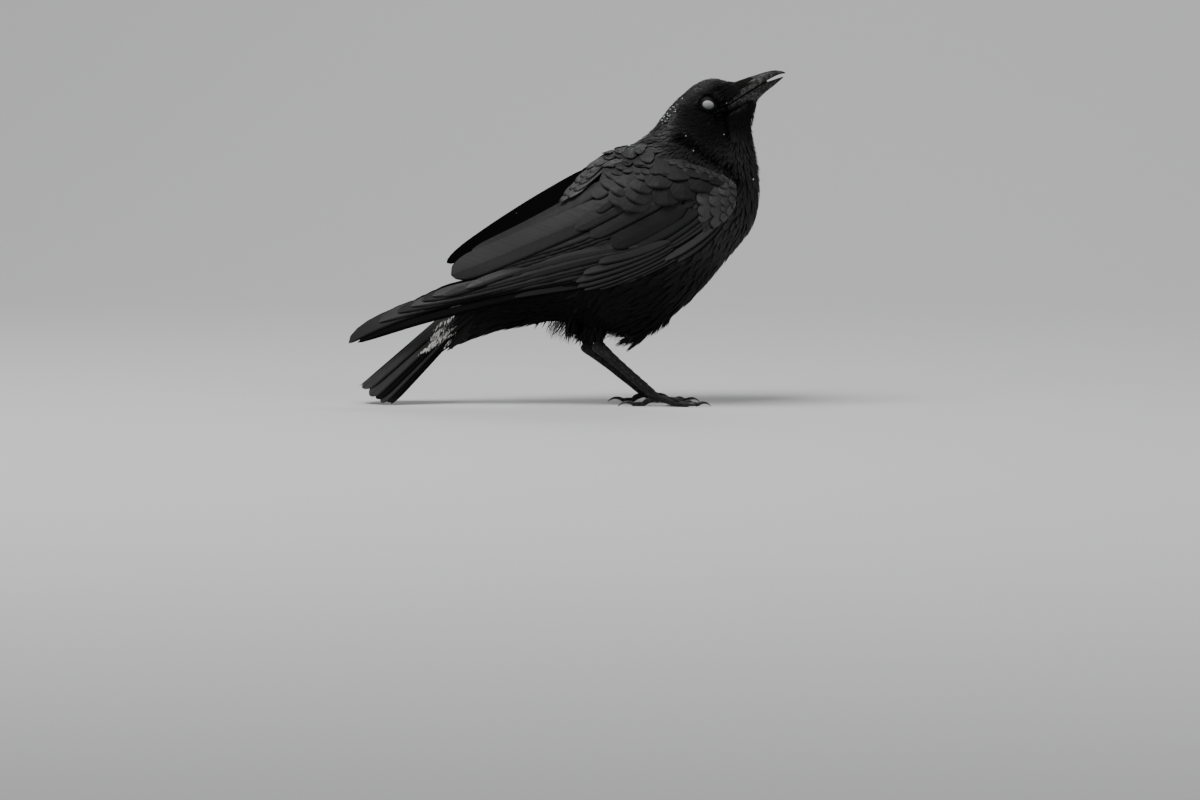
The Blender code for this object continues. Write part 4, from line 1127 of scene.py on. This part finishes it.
# Painted light: towards the root the horn turns lighter in mottled patches, standing in for light on the
# bill's base.
painted_light_at_base = calc(tree, toward_base, "*", ranged(tree, chips, 0.4, 0.62, 0.12, 0.8))
feed(shader, Base_Color=mixed(tree, painted_light_at_base, horn_tone, (0.085, 0.083, 0.081)),
     Specular_IOR_Level=ranged(tree, chipped, 0.0, 1.0, 0.2, 0.8),
     Roughness=ranged(tree, fibre, 0.35, 0.65, 0.26, 0.7),
     Normal=bump(tree, calc(tree, fibre, "-", calc(tree, chipped, "*", 0.6)), 0.6, 0.00025))
mouth_black, _, _ = material("mouth_black", (0.003, 0.0028, 0.0028), 0.8, 0.2)
bill_sheath("bill_upper_sheath", BILL_UPPER, 1, horn_black, "bill_upper")
bill_sheath("bill_lower_sheath", BILL_LOWER, -1, horn_black, "bill_lower")
bill_sheath("tongue", TONGUE, 1, mouth_black)

# Bristles: from the forehead and the lores they point along the bill and hide its base.
face_surface = surface_of(*melted(["head", "bill_upper", "bill_lower"], 1.2, 4))
bristle_black = feather_finish("bristle", (0.0015, 0.0015, 0.0015), (0.004, 0.004, 0.004), (0.7, 0.6),
                               0.08, 0.4)


def bristles(name, count, start, spread, ahead, lengths, half, lift):
    """A brush of stiff fine feathers on both sides of the face."""
    side = np.where(np.arange(count) % 2 == 0, -1.0, 1.0)
    roots = start + chance.uniform(-1, 1, (count, 3)) * np.array(spread)
    roots[:, 1] = side * np.abs(roots[:, 1])
    shares, widths = np.array(BRISTLE_SHAPE).T
    long = chance.uniform(*lengths, count)
    course = np.tile(ahead, (count, 1))
    course[:, 1] *= side
    course = unit(course + chance.normal(0, 0.09, course.shape))
    place, normal = settle(face_surface, roots)
    spread, tops, last = np.array([-1.0, 0.0, 1.0]), [], 0.0
    for share, width in zip(shares, widths):
        flat_course = in_surface(course, normal)
        place, normal = settle(face_surface, place + flat_course * (long * (share - last))[:, None])
        last = share
        aside = unit(np.cross(flat_course, normal))
        rise = (-BRISTLE_SINK + (lift + BRISTLE_SINK) * share) * chance.uniform(0.85, 1.15, count)
        rise = rise[:, None] + 0.5 * half * width * (1 - np.abs(spread))
        row = place[:, None] + aside[:, None] * half * width * spread[:, None]
        tops.append(row + normal[:, None] * rise[..., None])
    tops = np.stack(tops, axis=1)
    across = np.broadcast_to(half * widths[None, :, None] * spread, tops.shape[:3])
    vanes(name, tops, long[:, None] * shares[None], across, flat_places(roots), bristle_black)


# A brush: how many, where its roots are in the bill's places and how far they spread, which way it
# points along and above the bill, its shortest and longest bristle, their half width and lift.
BRUSHES = {
    "nasal_bristles": (460, (1.5, 7.4, 8.0), (3.5, 2.8, 4.0), (1, 0.26), (9, 19), 0.42, 0.8),
    "front_bristles": (260, (9.5, 9.4, 4.0), (4.0, 2.4, 2.6), (1, 0.16), (9, 17), 0.42, 0.6),
    "chin_bristles": (260, (13.5, -9.8, 2.5), (8.0, 1.6, 2.2), (0.9, -0.3), (4, 8), 0.5, 0.8),
    "rictal_bristles": (60, (-5.0, 1.0, 9.0), (2.5, 3.0, 3.5), (1, 0.3), (3, 5), 0.22, 0.5),
}
for name, (count, start, spread, (along, above), *sizes) in BRUSHES.items():
    bristles(name, count, in_bill(*start), spread, bill_ahead * along + bill_up * above, *sizes)

# ================================================================ eyes
# A dark eyeball under the closed third eyelid, a smooth pale skin drawn across it from the front
# corner. Round it runs a narrow black rim of bare wrinkled lid, thicker above.
EYE_OPEN = (4.55, 3.35)
EYE_TILT = math.radians(-10)
EYE_RINGS, EYE_SIDES, LID_STEPS = 36, 48, 72
# A lid's section: millimetres out from the opening's edge, and off the eyeball.
LID_PROFILE = ((0.0, -0.4), (-0.08, 0.05), (0.0, 0.3), (0.25, 0.45), (0.55, 0.45), (0.95, 0.35),
               (1.35, 0.3), (1.7, 0.1), (2.0, -0.9))
membrane_pale, tree, shader = material("third_eyelid", (0.5, 0.51, 0.52), 0.35, 0.4)
place = own_place(tree)
eye_bottom = float(eye_middle[2] - EYE_OPEN[1]) * MM
veil_noise = noise(tree, 420.0, 4.0, Vector=place)
height = node(tree, "SeparateXYZ", Vector=place).outputs[2]
# The membrane is near black at the bottom of the opening and turns pale upward, broken by noise.
paler_upward = ranged(tree, height, eye_bottom + 0.0008, eye_bottom + 0.0062)
paler_upward = calc(tree, paler_upward, "*", 0.75, "+", calc(tree, veil_noise, "*", 0.3))
feed(shader, Base_Color=mixed(tree, paler_upward, (0.02, 0.02, 0.021), (0.42, 0.43, 0.44)),
     Normal=bump(tree, veil_noise, 0.15, 0.0002))
lid_black, tree, shader = material("lid_black", (0.004, 0.004, 0.004), 0.6, 0.25)
wrinkle = node(tree, "TexVoronoi", Vector=own_place(tree), Scale=1500.0).outputs[0]
feed(shader, Normal=bump(tree, wrinkle, 0.4, 0.0003))


def lid_section(middle, radius, side, around):
    """The lid's section at one angle round the eye."""
    upper = max(math.sin(around), 0.0)
    wrinkled = 0.05 * math.sin(11 * around) + 0.04 * math.sin(23 * around)
    flat = np.array([EYE_OPEN[0] * math.cos(around), EYE_OPEN[1] * math.sin(around)])
    cosine, sine = math.cos(EYE_TILT), math.sin(EYE_TILT)
    flat = np.array([flat[0] * cosine - flat[1] * sine, flat[0] * sine + flat[1] * cosine])
    opening = np.linalg.norm(flat)
    outward = np.array([flat[0], 0, flat[1]]) / opening
    ring = []
    for wide, off in LID_PROFILE:
        stretch = (radius + 0.6 - opening) / LID_PROFILE[-1][0] if wide > 0.9 else 1
        reach = opening + wide * max(stretch, 1) + 0.3 * upper * min(wide, 0.6)
        ball = math.sqrt(max(radius**2 - min(reach, radius) ** 2, 0.0)) - max(reach - radius, 0.0)
        proud = ball + off + (0.25 * upper + wrinkled) * (off > 0.3)
        ring.append(middle + outward * reach + np.array([0, side, 0]) * proud)
    return ring if side < 0 else ring[::-1]


for side, side_name in SIDES:
    low, high = low_high(f"eye_{side_name}")
    middle, radius = (low + high) / 2, (high[0] - low[0]) / 2
    rings = []
    for polar in math.pi * np.arange(1, EYE_RINGS) / EYE_RINGS:
        turn = np.linspace(0, 2 * math.pi, EYE_SIDES, endpoint=False)
        out = np.full(EYE_SIDES, side * math.cos(polar))
        wide = math.sin(polar)
        ring = np.stack([wide * np.cos(turn), out, -side * wide * np.sin(turn)], axis=1)
        rings.append(middle + radius * ring)
    tube(f"eye_{side_name}_ball", rings, membrane_pale, "eye", f"eye_{side_name}")
    rings = [lid_section(middle, radius, side, 2 * math.pi * k / LID_STEPS) for k in range(LID_STEPS)]
    tube(f"eye_{side_name}_lids", rings, lid_black, "feather", sharp=180, hoop=True)

# ================================================================ legs, feet and claws
# The shanks and toes are thin and horny: overlapping plates down the front, fine pebbly skin at
# the sides, soft pads below. The claws are curved, glossy and black.
# A toe: its heading in degrees, its length, the height of its knuckle and its claw's length.
TOES = {
    "middle": (2.0, 33.0, 4.6, 11.5),
    "inner": (-27.0, 25.0, 4.0, 11.0),
    "outer": (26.0, 27.0, 3.7, 10.0),
    "hind": (176.0, 19.0, 4.0, 14.5),
}
TOE_SHARES = (0.0, 0.2, 0.38, 0.58, 0.8, 1.0)
TOE_RADIUS, TOE_TIP_RADIUS, TOE_REST = 2.7, 1.8, 0.72
# The shank from the heel to the foot: its half widths across and deep.
SHANK = ((-0.10, 2.8, 3.2), (-0.07, 4.0, 4.5), (-0.02, 4.4, 5.0), (0.06, 4.0, 4.7), (0.22, 2.9, 3.9),
         (0.5, 2.7, 3.6), (0.78, 2.9, 3.6), (0.95, 3.3, 3.4), (1.05, 3.0, 2.9))
PLATES, PLATE_HEIGHT, TOE_PLATE, TOE_PLATE_HEIGHT = 9, 0.42, 2.4, 0.3
CLAW_ARC, CLAW_LIFT, CLAW_RADIUS = math.radians(95), math.radians(38), 1.5


def limb(path, radii, sides, relief=None):
    """Rings round a path. relief(share, angle) raises the surface; angle 0 is its upper side."""
    path = np.array(path, float)
    run = np.concatenate([[0], np.cumsum(np.linalg.norm(np.diff(path, axis=0), axis=1))])
    rings = []
    for index, (centre, (across, deep)) in enumerate(zip(path, radii)):
        ahead = unit(path[min(index + 1, len(path) - 1)] - path[max(index - 1, 0)])
        aside = unit(np.cross([0, 0, 1], ahead))
        top = np.cross(ahead, aside)
        ring = []
        for k in range(sides):
            angle = 2 * math.pi * k / sides
            extra = relief(run[index] / run[-1], angle) if relief else 0.0
            place = centre + top * (deep + extra) * math.cos(angle)
            place = place + aside * (across + extra) * math.sin(angle)
            ring.append((place[0], place[1], max(place[2], 0.0)))
        rings.append(ring)
    return rings


def plate_relief(count, height):
    """Overlapping plates on the upper side, low pads underneath."""

    def relief(share, angle):
        over = max(math.cos(angle * 0.85), 0.0) ** 0.5
        phase = (share * count) % 1.0
        plate = height * (phase**0.7 if phase < 0.88 else (1 - phase) / 0.12)
        under = max(-math.cos(angle), 0.0)
        pad = 0.45 * height * (0.5 + 0.5 * math.cos(2 * math.pi * share * 3.5))
        return plate * over + pad * under - height * 0.4

    return relief


leg_black, tree, shader = material("leg_black", (0.009, 0.0088, 0.0086), 0.5, 0.3)
place = own_place(tree)
pebble = node(tree, "TexVoronoi", {"feature": "DISTANCE_TO_EDGE"}, Vector=place, Scale=620.0).outputs[0]
dust = noise(tree, 420.0, 5.0, Roughness=0.7, Vector=place)
dusty = mixed(tree, ranged(tree, dust, 0.5, 0.64), (0.004, 0.0039, 0.0038), (0.045, 0.043, 0.041))
feed(shader, Base_Color=dusty,
     Normal=bump(tree, calc(tree, ranged(tree, pebble, 0.0, 0.16), "+", dust), 1.0, 0.0008))
claw_black, tree, shader = material("claw_black", (0.009, 0.0088, 0.0086), 0.25, 0.5)
claw_grain = noise(tree, 700.0, 4.0, Vector=own_place(tree))
feed(shader, Roughness=ranged(tree, claw_grain, 0.3, 0.7, 0.18, 0.42))


def toe(side, side_name, toe_name, foot, heading, length, knuckle, claw):
    """One toe with its plates and pads, and the claw that grows from its end."""
    turn = math.radians(heading) * side
    ahead = np.array([math.cos(turn), math.sin(turn), 0])
    rest = [(TOE_RADIUS + (TOE_TIP_RADIUS - TOE_RADIUS) * s) * TOE_REST for s in TOE_SHARES]
    heights = [foot[2], (foot[2] + knuckle) / 2, knuckle, *rest[3:]]
    rows = smooth_rows([(length * s, h) for s, h in zip(TOE_SHARES, heights)], 12)
    path = [np.array([foot[0], foot[1], 0]) + ahead * row[0] + np.array([0, 0, row[1]]) for row in rows]
    radii = []
    for share in rows[:, 0] / length:
        joint = sum(high * math.exp(-(((share - at) / half) ** 2)) for high, at, half in (
            (0.24, 0.42, 0.07), (0.2, 0.72, 0.06)))
        round_end = math.sqrt(max(1 - max((share - 0.93) / 0.09, 0) ** 2, 0.2))
        radii.append([(TOE_RADIUS - 0.25 + (TOE_TIP_RADIUS - TOE_RADIUS) * share + joint) * round_end] * 2)
    rings = limb(path, radii, 26, plate_relief(round(length / TOE_PLATE), TOE_PLATE_HEIGHT))
    tube(f"toe_{side_name}_{toe_name}_skin", rings, leg_black, "leg_skin", f"toe_{side_name}_{toe_name}",
         sharp=60)
    bend = claw / CLAW_ARC
    nail_path, nail_radii = [], []
    for share in np.arange(26) / 25:
        angle = CLAW_ARC * share - CLAW_LIFT
        reach = bend * (math.sin(angle) + math.sin(CLAW_LIFT)) - 1.0
        rise = bend * (math.cos(angle) - math.cos(CLAW_LIFT))
        nail_path.append(path[-1] + ahead * reach + np.array([0, 0, rise]))
        thin = CLAW_RADIUS * (1 - 0.93 * share**1.2)
        nail_radii.append((0.8 * thin, thin))
    rings = limb(nail_path, nail_radii, 18)
    tube(f"claw_{side_name}_{toe_name}_horn", rings, claw_black, "horn", f"claw_{side_name}_{toe_name}")


for side, side_name in SIDES:
    low, high = low_high(f"tarsus_{side_name}")
    heel = np.array([low[0] + 4.6, side * 21.0, high[2] - 4.9])
    foot = np.array([high[0] - 4.1, side * 23.0, low[2] + 4.0])
    rows = smooth_rows(SHANK, 16)
    rings = limb([heel + (foot - heel) * row[0] for row in rows], rows[:, 1:], 30,
                 plate_relief(PLATES, PLATE_HEIGHT))
    tube(f"shank_{side_name}", rings, leg_black, "leg_skin", f"tarsus_{side_name}", sharp=60)
    for toe_name, sizes in TOES.items():
        toe(side, side_name, toe_name, foot, *sizes)

# ================================================================ loose feathers below
# Wet pointed wisps hang from the belly in front of the legs, and pale down shows at the vent and
# between the legs. They are single thin vanes that leave the skin and bend down and back.
WISP_SHAPE = ((0.0, 0.6), (0.25, 1.0), (0.5, 0.85), (0.75, 0.5), (0.92, 0.22), (1.0, 0.05))
FLOOR_GAP = 0.3


def midway(place):
    """A place in side view, in the bird's middle plane."""
    return np.array([place[0], 0, place[1]])


def free_feathers(name, roots, tips, half, finish, glossy):
    """Loose feathers off the skin, from roots to tips, each bent a little and turned at random."""
    count = len(roots)
    place, normal = settle(skin_surface, roots)
    course = tips - place
    long = np.linalg.norm(course, axis=1)
    shares, widths = np.array(WISP_SHAPE).T
    aside = unit(np.cross(course, np.array([0.0, 1.0, 0.0])))
    bend = np.radians(chance.uniform(-16, 16, count))[:, None] * (shares - shares**2)
    turned = np.stack([np.zeros(count), np.ones(count), chance.normal(0, 0.8, count)], axis=1)
    across_way = unit(turned * 0.5 + aside)
    line = place[:, None] + course[:, None] * shares[:, None]
    line = line + aside[:, None] * (long[:, None] * bend)[..., None]
    line = line - normal[:, None] * 0.8 * (1 - shares)[:, None]
    across = half * widths[None, :, None] * np.array([-1.0, 0.0, 1.0])
    across = across * chance.uniform(0.7, 1.3, (count, 1, 1))
    tops = line[:, :, None] + across_way[:, None, None] * across[..., None]
    tops[..., 1] -= 0.12 * half * (np.abs(across) < 0.01)
    tops[..., 2] = np.maximum(tops[..., 2], FLOOR_GAP)
    vanes(name, tops, long[:, None] * shares[None], across, flat_places(place), finish, gloss_and_shade=glossy)


def wisps(name, count, first, last, spread, heading, lengths, half, finish, glossy):
    """Free feathers with roots along a line in side view. heading is in degrees from ahead."""
    first, last = midway(first), midway(last)
    share = chance.random((count, 1))
    roots = first + share * (last - first)
    roots = roots + chance.uniform(-1, 1, (count, 3)) * np.array(spread)
    turn = np.radians(heading + chance.normal(0, 8, count))
    ahead = np.stack([np.cos(turn), chance.normal(0, 0.08, count), np.sin(turn)], axis=1)
    free_feathers(name, roots, roots + ahead * chance.uniform(*lengths, (count, 1)), half, finish, glossy)


def locks(name, bunches, spread, half, finish, glossy):
    """Wet locks: in each, many free feathers start around one place and meet at one tip."""
    roots, tips = [], []
    for root, tip, count in bunches:
        root, tip = midway(root), midway(tip)
        near = root + chance.uniform(-1, 1, (count, 3)) * np.array(spread)
        short = chance.uniform(0.62, 1.0, (count, 1))
        meeting = (near - root) * short**2 * [1, 0.35, 1]
        roots.append(near)
        tips.append(near + (tip - root) * short + chance.normal(0, 0.6, (count, 3)) - meeting)
    free_feathers(name, np.concatenate(roots), np.concatenate(tips), half, finish, glossy)


def tail_coverts(name, count, first, last, heading, lengths, half, finish, glossy):
    """Long soft coverts over the base of the tail, on both sides."""
    first, last = midway(first), midway(last)
    roots = first + np.linspace(0, 1, count)[:, None] * (last - first)
    roots = np.concatenate([roots + [0, side * 30.0, 0] for side in (-1, 1)])
    roots = roots + chance.normal(0, 1.0, (2 * count, 3))
    turn = np.radians(heading + chance.normal(0, 3, 2 * count))
    course = np.stack([np.cos(turn), -0.12 * np.sign(roots[:, 1]), np.sin(turn)], axis=1)
    course = course * chance.uniform(*lengths, (2 * count, 1))
    place = settle(skin_surface, roots)[0]
    free_feathers(name, place, place + course, half, finish, glossy)


down_pale = feather_finish("pale_down", (0.16, 0.155, 0.15), (0.42, 0.41, 0.40), (0.8, 0.7), 0.2, 0.2,
                           shaft=0.0)
# A lock: the share of the trunk it starts from, the node and share where it ends, and its feathers.
LOCKS = [(spot("trunk", *root), spot(name, *tip), count) for root, name, tip, count in (
    ((0.575, 0.055), "tarsus_right", (0.47, 0.80), 90), ((0.52, 0.04), "tarsus_right", (0.30, 0.90), 50),
    ((0.60, 0.05), "trunk", (0.51, -0.02), 50), ((0.64, 0.07), "trunk", (0.56, 0.005), 40),
    ((0.68, 0.10), "trunk", (0.61, 0.035), 30), ((0.54, 0.05), "trunk", (0.44, -0.05), 50))]
locks("belly_locks", LOCKS, (3.0, 9.0, 2.0), 0.5, soft_black, 0.35)
# Wisps: name, how many, the node with the first and last share of their roots' line, then as above.
for name, count, place, first, last, *more in (
    ("vent_wisps", 26, "trunk", (0.06, 0.1), (0.24, 0.0),
     (1.5, 14, 1.0), 205, (4, 9), 0.6, soft_black, 0.2),
    ("vent_down", 110, "trunk", (0.13, 0.05), (0.26, 0.0),
     (1.5, 12, 0.8), 236, (5, 10), 0.16, down_pale, 0.8),
    ("leg_down", 110, "trunk", (0.38, 0.05), (0.50, 0.03),
     (1.5, 13, 0.8), 225, (6, 13), 0.15, down_pale, 0.8),
    *((f"{thigh}_wisps", 170, thigh, (0.1, 0.5), (0.9, 0.4),
       (2.0, 30, 4.0), 266, (6, 11), 0.9, soft_black, 0.25) for thigh in ("thigh_right", "thigh_left"))):
    wisps(name, count, spot(place, *first), spot(place, *last), *more)
coverts = [spot("undertail_coverts", *share) for share in ((0.42, 0.62), (0.40, 0.10))]
tail_coverts("tail_coverts", 9, *coverts, 218, (34, 42), 3.6, scale_black, 0.35)
wisps("throat_wisps", 240, spot("neck", 0.90, 0.80), spot("neck", 0.965, 0.52), (1.5, 9, 1.5), 276, (5, 9),
      0.5, soft_black, 0.4)

# ================================================================ drops
# White specks lie on the nape, the side of the neck, the breast and the lores. They are small beads of
# water that rest on the tips of the feathers, coloured white as painted glints of light on the water.
DROP_LIFT, DROP_RINGS, DROP_SIDES, DROP_TALL = 1.8, 6, 10, 1.3
# The beads' white colour is a painted highlight: clear water drops that glint.
drop_glint_white, _, _ = material("drop_glint_white", (0.72, 0.73, 0.74), 0.25, 0.5)
nape_low, nape_high = np.array(spot("neck", 0.14, 0.82)), np.array(spot("neck", 0.25, 1.0))
drops = [(*(nape_low + (nape_high - nape_low) * chance.random() + chance.normal(0, 2.6, 2)),
          chance.uniform(0.18, 0.45)) for _ in range(24)]
drops += [(*spot(name, *share), size) for name, share, size in (
    ("neck", (0.66, 0.745), 0.3), ("neck", (0.91, 0.40), 0.5), ("neck", (0.32, 0.73), 0.36),
    ("neck", (0.385, 0.615), 0.4), ("head", (0.625, 0.60), 0.3))]
bead_points, bead_faces = [], []
for x, z, size in drops:
    for side in (-1, 1):
        beside = float(read_grid(body_height, np.array([x]), np.array([z]))[0])
        place, normal = settle(skin_surface, np.array([[x, side * beside, z]]))
        centre = place[0] + normal[0] * DROP_LIFT
        grid = len(bead_points) + np.arange((DROP_RINGS - 1) * DROP_SIDES).reshape(-1, DROP_SIDES)
        for polar in math.pi * np.arange(1, DROP_RINGS) / DROP_RINGS:
            wide, tall = math.sin(polar), DROP_TALL * math.cos(polar)
            for turn in 2 * math.pi * np.arange(DROP_SIDES) / DROP_SIDES:
                away = np.array([wide * math.cos(turn), wide * math.sin(turn), tall])
                bead_points.append((centre + size * away) * MM)
        grid = grid.tolist()
        for ring, following in zip(grid, grid[1:]):
            for k in range(DROP_SIDES):
                after = (k + 1) % DROP_SIDES
                bead_faces.append((ring[k], following[k], following[after], ring[after]))
        bead_faces += [tuple(grid[0]), tuple(grid[-1][::-1])]
mounted("drops", mesh_of("drops", bead_points, bead_faces, drop_glint_white), "feather")
